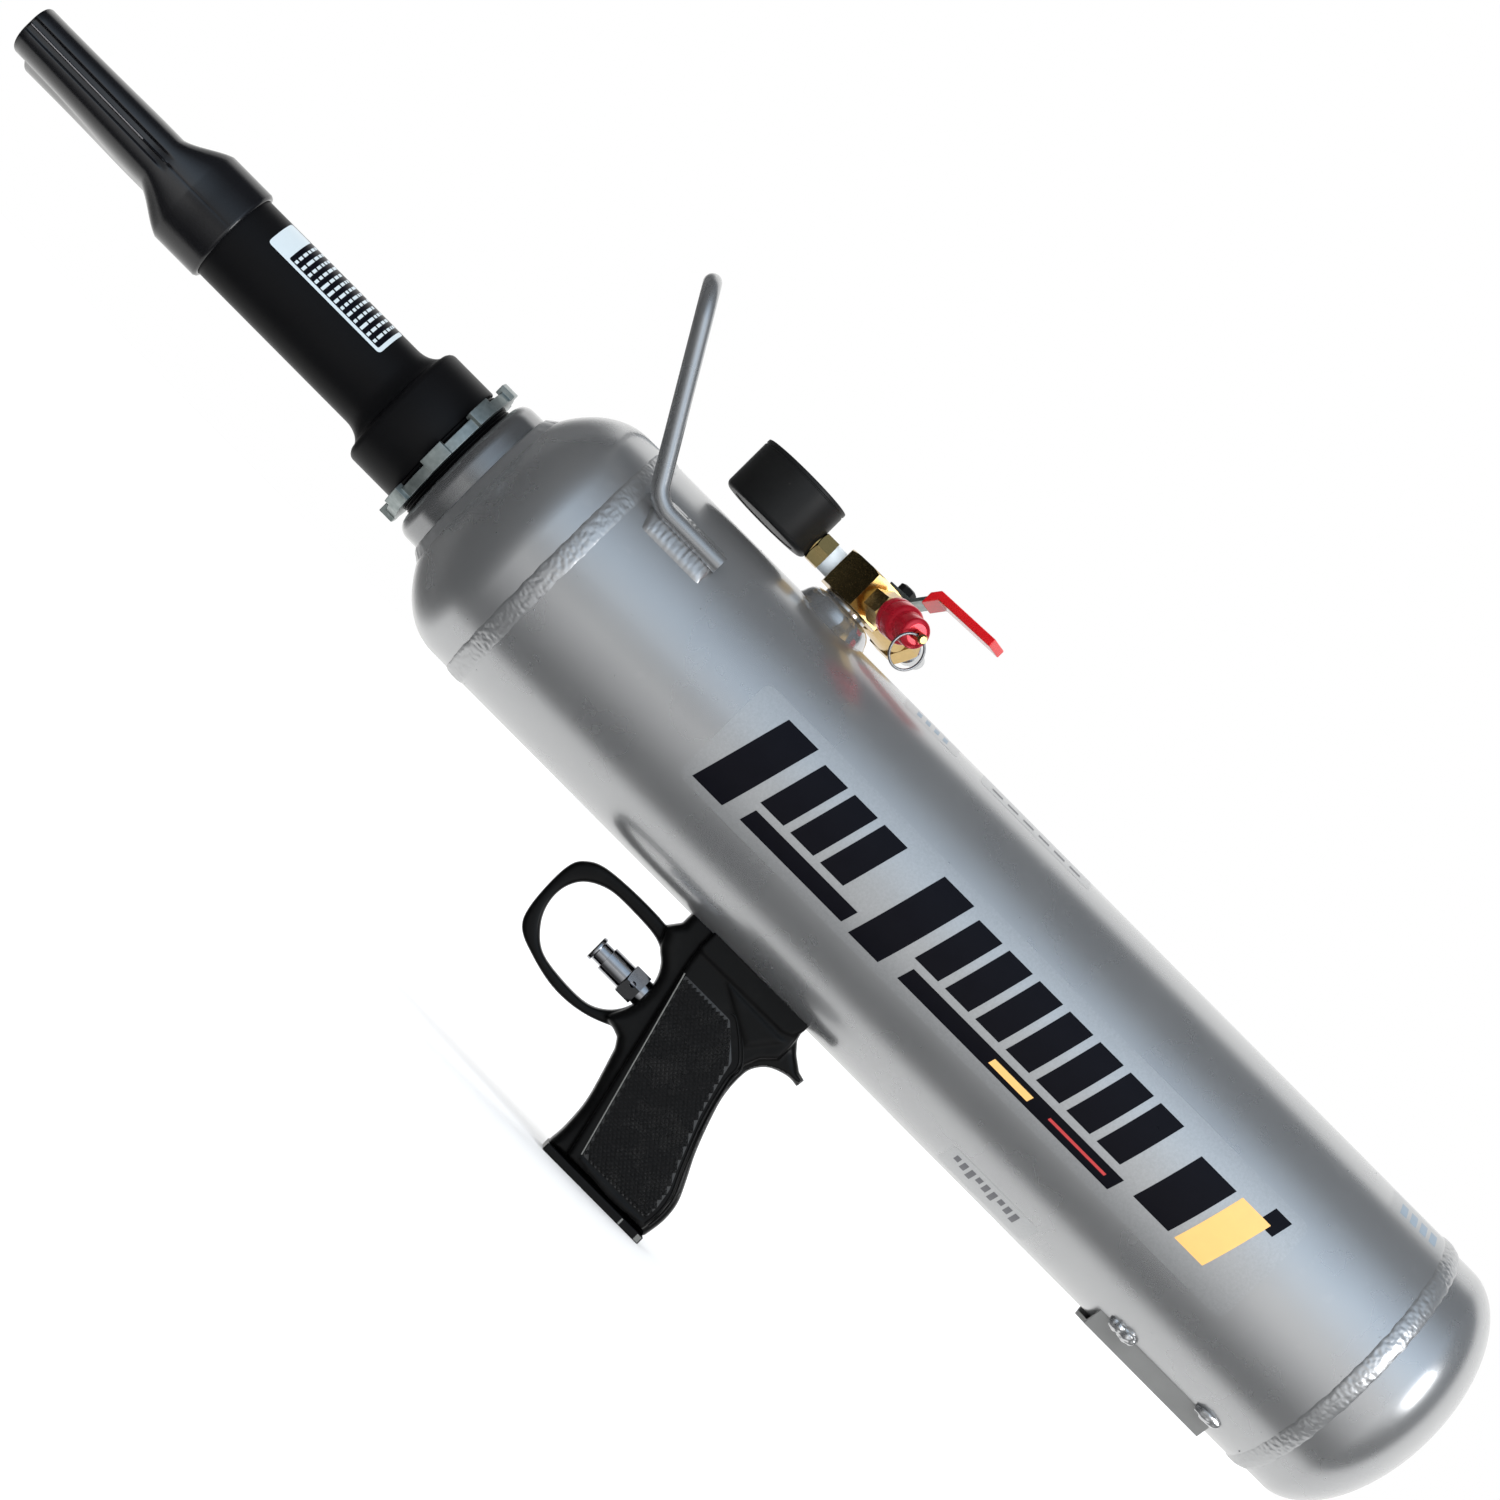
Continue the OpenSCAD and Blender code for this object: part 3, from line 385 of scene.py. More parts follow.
axisSpot = Vector((0, 0, tank["axisZ"]))
alongX = (1, 0, 0)
upZ = (0, 0, 1)


def turnedOnAxis(name, points, material, body="tank", replaces=(), steps=160, smoothAngle=40,
                 lumps=None):
    # points are (x, radius) in metres about the tank's axis
    bm = bmesh.new()
    spun(bm, points, axisSpot, alongX, upZ, steps)
    bmesh.ops.remove_doubles(bm, verts=bm.verts, dist=1e-6)
    if lumps:
        lumps(bm)
    return finishPiece(name, bm, material, body, replaces, smoothAngle)


def radial(v):
    # radius and angle about the tank's axis
    z = v.co.z - tank["axisZ"]
    return math.hypot(v.co.y, z), math.atan2(z, v.co.y)


def pushOut(v, amount):
    r, _ = radial(v)
    if r > 1e-6:
        v.co.y *= 1 + amount / r
        v.co.z = tank["axisZ"] + (v.co.z - tank["axisZ"]) * (1 + amount / r)


def makeStage():
    view = {
        "target": Vector((0.0835, 0, 0.1769)),
        "spot": Vector((0.128, 1.94, 0.12)),
        "roll": math.radians(45.2),
        "lens": 112.1,
        "sensor": 36.0,
    }
    data = bpy.data.cameras.new("camera")
    data.lens = view["lens"]
    data.sensor_width = view["sensor"]
    camera = bpy.data.objects.new("camera", data)
    bpy.context.scene.collection.objects.link(camera)
    # the lens looks square at the object, and its shift brings the middle of the object into the picture's
    side = view["spot"].x - view["target"].x
    frameWidth = view["sensor"] / view["lens"] * view["spot"].y
    data.shift_x = side * math.cos(view["roll"]) / frameWidth
    data.shift_y = -side * math.sin(view["roll"]) / frameWidth
    ahead = view["target"] - Vector((view["target"].x, view["spot"].y, view["spot"].z))
    turn = ahead.to_track_quat("-Z", "Y").to_matrix().to_4x4() @ Matrix.Rotation(view["roll"], 4, "Z")
    camera.matrix_world = Matrix.Translation(view["spot"]) @ turn
    bpy.context.scene.camera = camera

    bm = bmesh.new()
    bmesh.ops.create_grid(bm, x_segments=2, y_segments=2, size=30)
    mesh = bpy.data.meshes.new("floor")
    bm.to_mesh(mesh)
    bm.free()
    floor = bpy.data.objects.new("floor", mesh)
    bpy.context.scene.collection.objects.link(floor)
    floor.location.z = cadBox[0][2]
    f = Finish("floorPaint")
    grain = f.noise(f.place(), 900, 2)
    pale = f.mix(grain, (0.93, 0.93, 0.93), (0.95, 0.95, 0.95))
    mesh.materials.append(f.surface(baseColor=pale, roughness=0.9))
    floor.visible_glossy = False

    for name, spot, size, power, glossy in (
            ("rearSide", (-1.7, 1.25, 0.75), 0.9, 18, True),
            ("frontSide", (1.5, 1.6, 1.2), 0.7, 4, False)):
        data = bpy.data.lights.new(name, "AREA")
        data.shape = "SQUARE"
        data.size = size
        data.energy = power
        lamp = bpy.data.objects.new(name, data)
        bpy.context.scene.collection.objects.link(lamp)
        lamp.location = spot
        lamp.rotation_euler = (Vector((0, 0, 0.15)) - Vector(spot)).to_track_quat("-Z", "Y").to_euler()
        lamp.visible_glossy = glossy

    data = bpy.data.lights.new("overhead", "SUN")
    data.energy = 3.4
    data.angle = math.radians(150)
    lamp = bpy.data.objects.new("overhead", data)
    bpy.context.scene.collection.objects.link(lamp)
    lamp.location = (0, 0, 2)
    lamp.visible_glossy = False


def makeWorld():
    # bright behind and in front, dim above and below, and white where the camera sees it
    world = bpy.data.worlds.new("studio")
    bpy.context.scene.world = world
    world.use_nodes = True
    tree = world.node_tree
    tree.nodes.clear()

    def add(kind, **settings):
        node = tree.nodes.new(kind)
        for key, value in settings.items():
            setattr(node, key, value)
        return node

    coords = add("ShaderNodeTexCoord")
    parts = add("ShaderNodeSeparateXYZ")
    tree.links.new(coords.outputs["Generated"], parts.inputs[0])
    x = Val(tree, parts.outputs[0])
    y = Val(tree, parts.outputs[1])
    z = Val(tree, parts.outputs[2])
    back = (y * -0.959 + z * -0.284).above(0.24, 0.2) * (1 - x.above(0.35, 0.25) * 0.75)
    lobe = add("ShaderNodeValToRGB")
    setStops(lobe.color_ramp, [(0.0, (0.06, 0.06, 0.06)), (0.35, (0.1, 0.1, 0.1)),
                               (0.56, (0.33, 0.33, 0.33)), (0.79, (0.68, 0.68, 0.69)),
                               (0.93, (0.96, 0.96, 0.96)), (1.0, (1.0, 1.0, 1.0))])
    plug(tree, lobe.inputs[0], y * 0.988 + z * 0.156)
    tint = add("ShaderNodeMix", data_type="RGBA")
    plug(tree, tint.inputs[0], (z * 1.5 + 0.25).clamp())
    tint.inputs[6].default_value = (0.98, 0.98, 0.97, 1)
    tint.inputs[7].default_value = (0.79, 0.98, 1.18, 1)
    product = add("ShaderNodeMix", data_type="RGBA", blend_type="MULTIPLY")
    product.inputs[0].default_value = 1
    tree.links.new(lobe.outputs[0], product.inputs[6])
    tree.links.new(tint.outputs[2], product.inputs[7])
    slope = ((x * -1.8 + 0.86).math("MINIMUM", 1.35)).math("MAXIMUM", 0.2)
    corner = x.above(0.5, 0.25) * (y + 0.3).above(0.0, 0.3)
    watcher = (y + z * -0.05).above(0.985, 0.012) * (1 - x.math("ABSOLUTE").above(0.16, 0.06))
    shade = add("ShaderNodeMix", data_type="RGBA")
    plug(tree, shade.inputs[0], back)
    tree.links.new(product.outputs[2], shade.inputs[6])
    shade.inputs[7].default_value = (1.05, 1.05, 1.04, 1)
    strength = (slope * (1 - back) + back) * (1 - corner * 0.85) * (1 - watcher * 0.35)
    room = add("ShaderNodeBackground")
    tree.links.new(shade.outputs[2], room.inputs[0])
    plug(tree, room.inputs[1], strength)
    backdrop = add("ShaderNodeBackground")
    backdrop.inputs[0].default_value = (1, 1, 1, 1)
    path = add("ShaderNodeLightPath")
    pick = add("ShaderNodeMixShader")
    tree.links.new(path.outputs["Is Camera Ray"], pick.inputs[0])
    tree.links.new(room.outputs[0], pick.inputs[1])
    tree.links.new(backdrop.outputs[0], pick.inputs[2])
    end = add("ShaderNodeOutputWorld")
    tree.links.new(pick.outputs[0], end.inputs[0])


makeStage()
makeWorld()
bpy.context.scene.view_settings.view_transform = "Standard"
print("stage ready")


tankShape = {
    "frontHeadR": 63.2 * mm,
    "rearHeadR": 62.3 * mm,
    "frontSkirt": 12.9 * mm,
    "rearSkirt": 14.6 * mm,
    "frontDepth": 41.2 * mm,
    "rearDepth": 34 * mm,
    "arcSteps": 40,
}


def ellipseArc(x, r, depth, direction, stop):
    n = tankShape["arcSteps"]
    turns = [stop * i / n for i in range(n + 1)]
    return [(x + direction * depth * math.sin(t), r * math.cos(t)) for t in turns]


def headPiece(name, seamX, skirt, r, depth, direction, holeR, node):
    wall = tank["wall"]
    stopOut = math.acos(holeR / r)
    stopIn = math.acos(holeR / (r - wall))
    base = seamX + direction * skirt
    outer = [(seamX, r)] + ellipseArc(base, r, depth, direction, stopOut)
    inner = [(seamX, r - wall)] + ellipseArc(base, r - wall, depth - wall, direction, stopIn)
    if holeR == 0:
        outer[-1] = (outer[-1][0], 0)
        inner[-1] = (inner[-1][0], 0)
    turnedOnAxis(name, outer + inner[::-1], "paint", replaces=[node], steps=256)


def makeTank():
    r, wall = tank["radius"], tank["wall"]
    a, b = tank["rearSeam"], tank["frontSeam"]
    rings = [a + (b - a) * i / 24 for i in range(25)]
    outline = [(x, r) for x in rings] + [(x, r - wall) for x in rings[::-1]]
    turnedOnAxis("tankShell", outline, "paint", replaces=["tank_shell"], steps=256)
    headPiece("frontHead", b, tankShape["frontSkirt"], tankShape["frontHeadR"], tankShape["frontDepth"], 1,
              (hi("neck_collar").z - lo("neck_collar").z) / 2, "front_head")
    headPiece("rearHead", a, tankShape["rearSkirt"], tankShape["rearHeadR"], tankShape["rearDepth"], -1,
              0, "rear_head")


bead = {"half": 4.8 * mm, "height": 0.55 * mm, "lump": 0.3 * mm, "grain": 1.3 * mm}


def makeWeldBead(name, seamX, headR, direction, node, seed):
    # a low band over the seam, hammered in texture, with a crisp edge on the head's side
    half = bead["half"]
    count = 14
    crown = []
    for i in range(count + 1):
        s = -1 + 2 * i / count
        skin = tank["radius"] + (headR - tank["radius"]) * max(0, s)
        crown.append((seamX + direction * s * half, skin + bead["height"] * (1 - abs(s) ** 5) - 0.04 * mm))
    root = headR - 0.6 * mm
    outline = crown + [(seamX + direction * half, root), (seamX - direction * half, root)]

    def lumps(bm):
        for v in bm.verts:
            r, angle = radial(v)
            across = (v.co.x - seamX) / half
            if r < headR - 0.3 * mm:
                continue
            fade = max(0.0, 1 - abs(across) ** 6)
            around = angle * tank["radius"]
            sample = Vector((v.co.x / bead["grain"] + seed, around / bead["grain"] * 0.7, seed))
            swell = noise.noise(sample) + 0.6 * noise.noise(sample * 2.1)
            pushOut(v, max(-0.25 * mm, min(swell * bead["lump"], 0.12 * mm)) * fade)
            v.co.x += noise.noise(Vector((around / (5 * mm), seed, 0))) * 0.5 * mm * abs(across)

    turnedOnAxis(name, outline, "weldPaint", replaces=[node], steps=900, smoothAngle=50,
                 lumps=lumps)


def makeNeck():
    r = (hi("neck_collar").z - lo("neck_collar").z) / 2
    back, front = lo("neck_collar").x, hi("neck_collar").x
    bore = 29.6 * mm
    long, deep = 6 * mm, 5 * mm
    turns = [math.pi / 16 * t for t in range(1, 9)]
    outline = [(back, bore), (back, r), (front - long, r)]
    outline += [(front - long + long * math.sin(t), r - deep * (1 - math.cos(t))) for t in turns]
    outline += [(front, bore)]
    turnedOnAxis("neckCollar", outline, "collarPaint", replaces=["neck_collar"], steps=256,
                 smoothAngle=50)

    rim = [(240.6, r / mm - 0.2), (240.4, 38.2), (239.2, 39.4), (238.0, 40.2), (236.4, 41.4), (235.2, 42.6),
           (233.8, 43.3), (232.2, 43.4), (230.5, 42.0), (230.5, r / mm - 0.2)]

    def lumps(bm):
        for v in bm.verts:
            rad, angle = radial(v)
            if rad > r + 0.1 * mm:
                around = angle * rad
                sample = Vector((v.co.x / (3 * mm), around / (2.6 * mm), rad / (4 * mm)))
                pushOut(v, 0.28 * mm * noise.noise(sample))
                v.co.x += 0.3 * mm * noise.noise(sample * 0.7 + Vector((5, 0, 0)))

    turnedOnAxis("neckWeld", [(x * mm, q * mm) for x, q in rim], "weldPaint",
                 replaces=["neck_weld"], steps=360, smoothAngle=60, lumps=lumps)


spatter = {"count": 46, "small": 0.22 * mm, "large": 0.62 * mm, "seed": 7}


def makeSpatter():
    # beads of weld metal that stuck to the shell and were painted over
    bm = bmesh.new()
    seeds = [(tank["frontSeam"], 16 * mm), (tank["rearSeam"], 14 * mm), (lo("carry_handle").x, 12 * mm),
             (mid("foot_bracket").x, 30 * mm)]
    for i in range(spatter["count"]):
        pick = noise.noise_vector(Vector((i * 3.17, spatter["seed"], 0.5)))
        share = abs(noise.noise(Vector((i * 1.7, 2, 9))))
        size = spatter["small"] + (spatter["large"] - spatter["small"]) * share
        near, spread = seeds[i % 4]
        x = near + spread * pick.x * 2.2
        x = max(tank["rearSeam"] + 6 * mm, min(tank["frontSeam"] - 6 * mm, x))
        angle = math.pi * 2 * (i * 0.618 % 1)
        onShell = Vector((x, tank["radius"] * math.cos(angle), tank["radius"] * math.sin(angle)))
        place = Matrix.Translation(axisSpot + onShell)
        bmesh.ops.create_icosphere(bm, subdivisions=2, radius=size, matrix=place)
    finishPiece("weldSpatter", bm, "weldPaint", "tank")


def rodSweep(bm, radius, start, moves, sides=32):
    # a round bar that goes straight or turns, one move after another
    made = bmesh.ops.create_circle(bm, cap_ends=False, radius=radius, segments=sides,
                                   matrix=Matrix.Translation(start) @ Matrix.Rotation(math.pi / 2, 4, "Y"))
    ring = list({e for v in made["verts"] for e in v.link_edges})
    bmesh.ops.contextual_create(bm, geom=ring)
    spot, heading = Vector(start), Vector((1, 0, 0))
    for kind, size, *rest in moves:
        if kind == "go":
            grown = bmesh.ops.extrude_edge_only(bm, edges=ring)["geom"]
            ends = [g for g in grown if isinstance(g, bmesh.types.BMVert)]
            bmesh.ops.translate(bm, verts=ends, vec=heading * size)
            sides = [g for g in grown if isinstance(g, bmesh.types.BMEdge)]
            ring = [e for e in sides if all(v in grown for v in e.verts)]
            spot = spot + heading * size
        else:
            angle, axis = rest
            centre = spot + Vector(axis).cross(heading) * size
            grown = bmesh.ops.spin(bm, geom=ring, cent=centre, axis=axis, angle=angle, steps=16)
            ring = [g for g in grown["geom_last"] if isinstance(g, bmesh.types.BMEdge)]
            turn = Matrix.Rotation(angle, 4, Vector(axis))
            spot = centre + turn @ (spot - centre)
            heading = turn @ heading
    bmesh.ops.contextual_create(bm, geom=ring)


handle = {
    "rodR": 4 * mm,
    "footAngle": math.radians(41),
    "footBack": 146 * mm,
    "footBend": 182.6 * mm,
    "lean": math.radians(59.2),
    "leg": 93.7 * mm,
    "footBendR": 14 * mm,
    "topBendR": 18 * mm,
}


def makeHandle():
    h = handle
    reach = tank["radius"] + h["rodR"]
    footY, footZ = reach * math.cos(h["footAngle"]), tank["axisZ"] + reach * math.sin(h["footAngle"])
    backOff = h["footBendR"] * math.tan(h["lean"] / 2)
    straight = h["leg"] - backOff - h["topBendR"]
    legWay = Vector((math.cos(h["lean"]), 0, math.sin(h["lean"])))
    across = Vector((0, 1, 0)).cross(legWay)
    moves = [("go", h["footBend"] - backOff - h["footBack"]),
             ("turn", h["footBendR"], h["lean"], (0, -1, 0)),
             ("go", straight),
             ("turn", h["topBendR"], math.pi / 2, across),
             ("go", 2 * (footY - h["topBendR"])),
             ("turn", h["topBendR"], math.pi / 2, across),
             ("go", straight),
             ("turn", h["footBendR"], h["lean"], (0, 1, 0)),
             ("go", h["footBend"] - backOff - h["footBack"])]
    bm = bmesh.new()
    rodSweep(bm, h["rodR"], Vector((h["footBack"], footY, footZ)), moves)
    finishPiece("carryHandle", bm, "rodPaint", "tank", ["carry_handle"])


def makeHandleWelds():
    # a rippled fillet on each side of both feet, highest beside the rod
    bm = bmesh.new()
    length, halfW, height = 34 * mm, 5.6 * mm, 2.9 * mm
    pitch, sunk, overhang = 2.9 * mm, 0.4 * mm, 1 * mm
    for side in (1, -1):
        for step in (-1, 1):
            angle = handle["footAngle"] + step * math.radians(5.6)
            made = bmesh.ops.create_grid(bm, x_segments=66, y_segments=10, size=0.5)
            for v in made["verts"]:
                u, w = v.co.x * 2, v.co.y * 2
                ripple = math.sin((u * length / 2 + w * w * 1.6 * mm) / pitch * math.tau)
                toRod = -w * step
                crown = max(0.0, 1 - abs((toRod - 0.4) / 1.4) ** 2.2) * max(0.0, 1 - abs(u) ** 9)
                rough = noise.noise(Vector((u * 14, w * 2.5, side * 3 + step)))
                lumps = crown * (0.1 * ripple + 0.3 * rough) * mm
                r = tank["radius"] - sunk + height * crown ** 0.6 + lumps
                lean = angle + w * halfW / tank["radius"]
                drawnOut = toRod * 1.5 * mm if u > 0.8 else 0
                x = handle["footBack"] + overhang + (1 + u) * length / 2 + drawnOut
                v.co = axisSpot + Vector((x, side * r * math.cos(lean), r * math.sin(lean)))
    finishPiece("handleWelds", bm, "weldPaint", "tank", ["handle_welds"], 70)


makeTank()
makeWeldBead("frontWeldBead", tank["frontSeam"], tankShape["frontHeadR"], 1, "front_weld_bead", 3.3)
makeWeldBead("rearWeldBead", tank["rearSeam"], tankShape["rearHeadR"], -1, "rear_weld_bead", 8.1)
makeNeck()
makeSpatter()
makeHandle()
makeHandleWelds()
print("tank ready")


def spinZ(bm, points, centre, steps=96):
    # a closed outline of (height, radius) turned about an upright axis
    spun(bm, points, Vector(centre), upZ, alongX, steps)
    bmesh.ops.remove_doubles(bm, verts=bm.verts, dist=1e-6)


def weighted(piece):
    # keeps flat faces flat beside small rounded edges
    fix = piece.modifiers.new("flats", "WEIGHTED_NORMAL")
    fix.weight = 90
    fix.keep_sharp = True


def mergedCopy(node):
    # a CAD node's mesh, joined up and free to work on
    bm = bmesh.new()
    bm.from_mesh(nodes[node].data)
    bm.transform(nodes[node].matrix_world)
    bmesh.ops.remove_doubles(bm, verts=bm.verts, dist=2e-6)
    return bm


def softened(node, width, material, name, steps=2, angle=38):
    # the same shape as its node, with its hard edges rounded over
    bm = mergedCopy(node)
    bmesh.ops.dissolve_limit(bm, angle_limit=math.radians(0.5), verts=bm.verts, edges=bm.edges)
    sharp = [e for e in bm.edges if e.is_manifold and e.calc_face_angle(0) > math.radians(angle)]
    bmesh.ops.bevel(bm, geom=sharp, offset=width, offset_type="OFFSET", segments=steps, profile=0.5,
                    affect="EDGES", clamp_overlap=True, material=-1)
    weighted(finishPiece(name, bm, material, bodyOf[node], [node], 46))


port = {
    "x": mid("manifold_block").x,
    "z": mid("gauge_stem").z,
    "safety": math.radians(120),
}


def portAxis(angle):
    return Vector((math.cos(angle), math.sin(angle), 0))


def portSpot(angle, out):
    return Vector((port["x"], 0, port["z"])) + portAxis(angle) * out


def makeInlet():
    x = port["x"]
    top = hi("inlet_bung").z
    bm = bmesh.new()
    bung = [(-13, 6, 0), (-13, 11, 0), (0, 11, 1.2), (0, 6, 0.5)]
    ring = rounded([tuple(value * mm for value in corner) for corner in bung], 0)
    spinZ(bm, ring, (x, 0, top))
    finishPiece("inletBung", bm, "bungPaint", "tank", ["inlet_bung"], 60)
    bm = bmesh.new()
    cone = [(-16, 25), (-13, 21.6), (-10.4, 19), (-8.4, 17.8), (-6.6, 17.1), (-5, 16.3), (-3.8, 15.2),
            (-2.9, 13.8), (-2.4, 12.4), (-2.2, 11.02), (-16, 11.02)]
    spinZ(bm, [(a * mm, r * mm) for a, r in cone], (x, 0, top), 128)
    for v in bm.verts:
        away = math.hypot(v.co.x - x, v.co.y)
        if away > 11.3 * mm:
            sample = Vector((v.co.x, v.co.y, v.co.z)) / (6 * mm)
            v.co.z += 0.25 * mm * noise.noise(sample)
    finishPiece("inletWeld", bm, "bungPaint", "tank", ["inlet_weld"], 70)


def makeFootWelds():
    # pressed-out blobs of weld, the front ones double with a hollow between
    bm = bmesh.new()
    z = mid("foot_welds").z + 0.6 * mm
    blobs = [(-189.2, 4.6, 2.7), (-194.4, 5.4, 3.1), (-241.4, 6.6, 2.8)]
    for side in (1, -1):
        for x, long, tall in blobs:
            place = Matrix.Translation((x * mm, side * 26.6 * mm, z)) @ Matrix.Rotation(side * 0.55, 4, "X")
            made = bmesh.ops.create_icosphere(bm, subdivisions=4, radius=1)
            size = Vector((long, 3.3, tall)) * mm
            for v in made["verts"]:
                swell = 1 + 0.16 * noise.noise(v.co * 2.2 + Vector((x, side, 0)))
                v.co = place @ (v.co * size * swell)
    finishPiece("footWelds", bm, "bungPaint", "tank", ["foot_welds"], 80)


nozzle = {
    "back": lo("nozzle").x,
    "tip": hi("nozzle").x,
    "cone": 409 * mm,
    "flat": 427 * mm,
    "socket": 23.25 * mm,
    "halfWide": 42 * mm,
    "halfHigh": 12.7 * mm,
    "halfFlat": 13 * mm,
    "wall": 3 * mm,
    "turn": math.radians(2.1),
    "step": 392 * mm,
    "boreR": 18.2 * mm,
    "seatR": 21.15 * mm,
    "sideShare": [0, 0.02, 0.045, 0.075, 0.105, 0.135, 0.165, 0.19, 0.215, 0.235, 0.255, 0.275, 0.3, 0.33,
                  0.37, 0.42, 0.5],
    "topSteps": 18,
    "groove": {"start": 421 * mm, "runIn": 12 * mm, "deep": 2.1 * mm, "half": 3.1 * mm, "edge": 1.2 * mm},
    "seam": {"runIn": 8 * mm, "high": 0.8 * mm, "half": 0.7 * mm, "faint": 0.35},
    "chamfer": {"long": 7 * mm, "from": 0.55, "slope": 1.2},
    # where the painted highlight on the parting line starts
    "ridgeHighlightFrom": 436 * mm,
}


def ease(t):
    u = min(max(t, 0), 1)
    return u * u * (3 - 2 * u)


def signedPower(value, e):
    return math.copysign(abs(value) ** e, value)


def sideCut(x, z):
    # how deep the side is cut: a groove along the flat stretch, less the parting line that stands in it
    groove, seam = nozzle["groove"], nozzle["seam"]
    across = 1 - ease((abs(z) - groove["half"] + groove["edge"] / 2) / groove["edge"])
    depth = groove["deep"] * ease((x - groove["start"]) / groove["runIn"]) * across
    ridge = seam["high"] * (1 - ease(abs(z) / seam["half"])) * ease((x - nozzle["back"]) / seam["runIn"])
    return depth - ridge * (1 if depth > 0 else seam["faint"])


def cornerCut(x, z, high):
    # the far lobe's lower corner is chamfered at the mouth
    cut = nozzle["chamfer"]
    near = 1 - (nozzle["tip"] - x) / cut["long"]
    return max(0, -z - high * cut["from"]) * cut["slope"] * max(0, near)


def nozzleRing(x, inset):
    # one section of the nozzle: round at the socket, a flat box with rounded corners at the mouth
    n = nozzle
    t = min(max((x - n["cone"]) / (n["flat"] - n["cone"]), 0), 1)
    spread = 0.6 * t + 0.4 * ease(t)
    along = min(max((x - n["cone"]) / (n["tip"] - n["cone"]), 0), 1)
    wide = n["socket"] + (n["halfWide"] - n["socket"]) * along - inset
    high = n["socket"] + (n["halfFlat"] - n["socket"]) * spread - inset
    high += (n["halfHigh"] - n["halfFlat"]) * along * spread
    e = 1 - 0.36 * spread
    waist = 0.3 * ease((along - 0.3) / 0.6)
    quarter = [math.asin(share ** (1 / e)) for share in n["sideShare"]]
    start = quarter[-1]
    quarter += [start + (math.pi / 2 - start) * k / n["topSteps"] for k in range(1, n["topSteps"] + 1)]
    half = quarter + [math.pi - a for a in quarter[-2::-1]]
    angles = half + [math.pi + a for a in half[1:-1]]
    points = []
    for a in angles:
        y = wide * signedPower(math.cos(a), e)
        z = high * signedPower(math.sin(a), e)
        if inset == 0 and abs(y) > wide * 0.6:
            y -= math.copysign(sideCut(x, z), y)
        back = cornerCut(x, z, high) if y < wide * -0.75 else 0
        z *= 1 - waist * math.exp(-(y / (wide * 0.42)) ** 2)
        points.append((x - back, y, z))
    return points


def makeNozzle():
    n = nozzle
    back, tip, wall = n["back"], n["tip"], n["wall"]
    bm = bmesh.new()
    turn = Matrix.Rotation(n["turn"], 4, "X")
    rings = []

    def add(points):
        rings.append([bm.verts.new(axisSpot + turn @ Vector(p)) for p in points])

    def scaled(points, shrink, x):
        return [(x, y * shrink, z * shrink) for _, y, z in points]

    first = nozzleRing(back + 1.3 * mm, 0)
    add(scaled(first, 0.955, back))
    add(scaled(first, 0.975, back + 0.25 * mm))
    outerX = [back + 1.3 * mm, back + 1.7 * mm, back + 6 * mm, n["cone"] - 9 * mm, n["cone"]]
    outerX += [n["cone"] + (n["flat"] - n["cone"]) * k / 14 for k in range(1, 15)]
    outerX += [n["flat"] + (tip - 0.8 * mm - n["flat"]) * k / 22 for k in range(1, 23)]
    for x in outerX:
        add(nozzleRing(x, 0))
    add(nozzleRing(tip - 0.25 * mm, 0.25 * mm))
    add(nozzleRing(tip, 0.9 * mm))
    add(nozzleRing(tip, wall - 0.4 * mm))
    for x in [tip - 0.5 * mm] + [tip - (tip - n["flat"]) * k / 14 for k in range(1, 15)]:
        add(nozzleRing(x, wall))
    for k in range(1, 10):
        add(nozzleRing(n["flat"] - (n["flat"] - n["cone"]) * k / 9, wall))
    add(nozzleRing(n["step"] + 4 * mm, wall))
    bore = n["boreR"] / n["socket"]
    seat = n["seatR"] / n["socket"]
    flatRing = nozzleRing(n["step"], 0.0001 * mm)
    add(scaled(flatRing, bore, n["step"]))
    add(scaled(flatRing, seat, n["step"]))
    add(scaled(flatRing, seat, back))
    count = len(rings[0])
    ridge = (0, count - 1, count // 2 - 1, count // 2)
    for i, ring in enumerate(rings):
        after = rings[(i + 1) % len(rings)]
        for k in range(count):
            j = (k + 1) % count
            face = bm.faces.new((ring[k], ring[j], after[j], after[k]))
            # the parting line carries a painted highlight: a pale grey strip along the flat stretch
            outside = i < len(outerX) + 1
            face.material_index = 1 if k in ridge and outside and n["ridgeHighlightFrom"] < ring[k].co.x else 0
    finishPiece("nozzle", bm, ("nozzleBlack", "ridgeHighlightPaint"), "barrel", ["nozzle"], 34)


barrel = {"r": 21, "bore": 18, "wall": 3, "threadR": 29.5, "baseR": 30.2, "seat": 229, "stepX": 232,
          "collarFront": 252.4, "baseBack": 263, "baseFront": 288.5, "flareFront": 298.5, "front": 392,
          "ringGroove": {"back": 236.2, "front": 239.6, "deep": 2.6}, "flareDrop": 2.3,
          "thread": {"pitch": 1.4, "deep": 0.65, "flank": 0.55, "crest": 0.2, "lead": 3.5}}


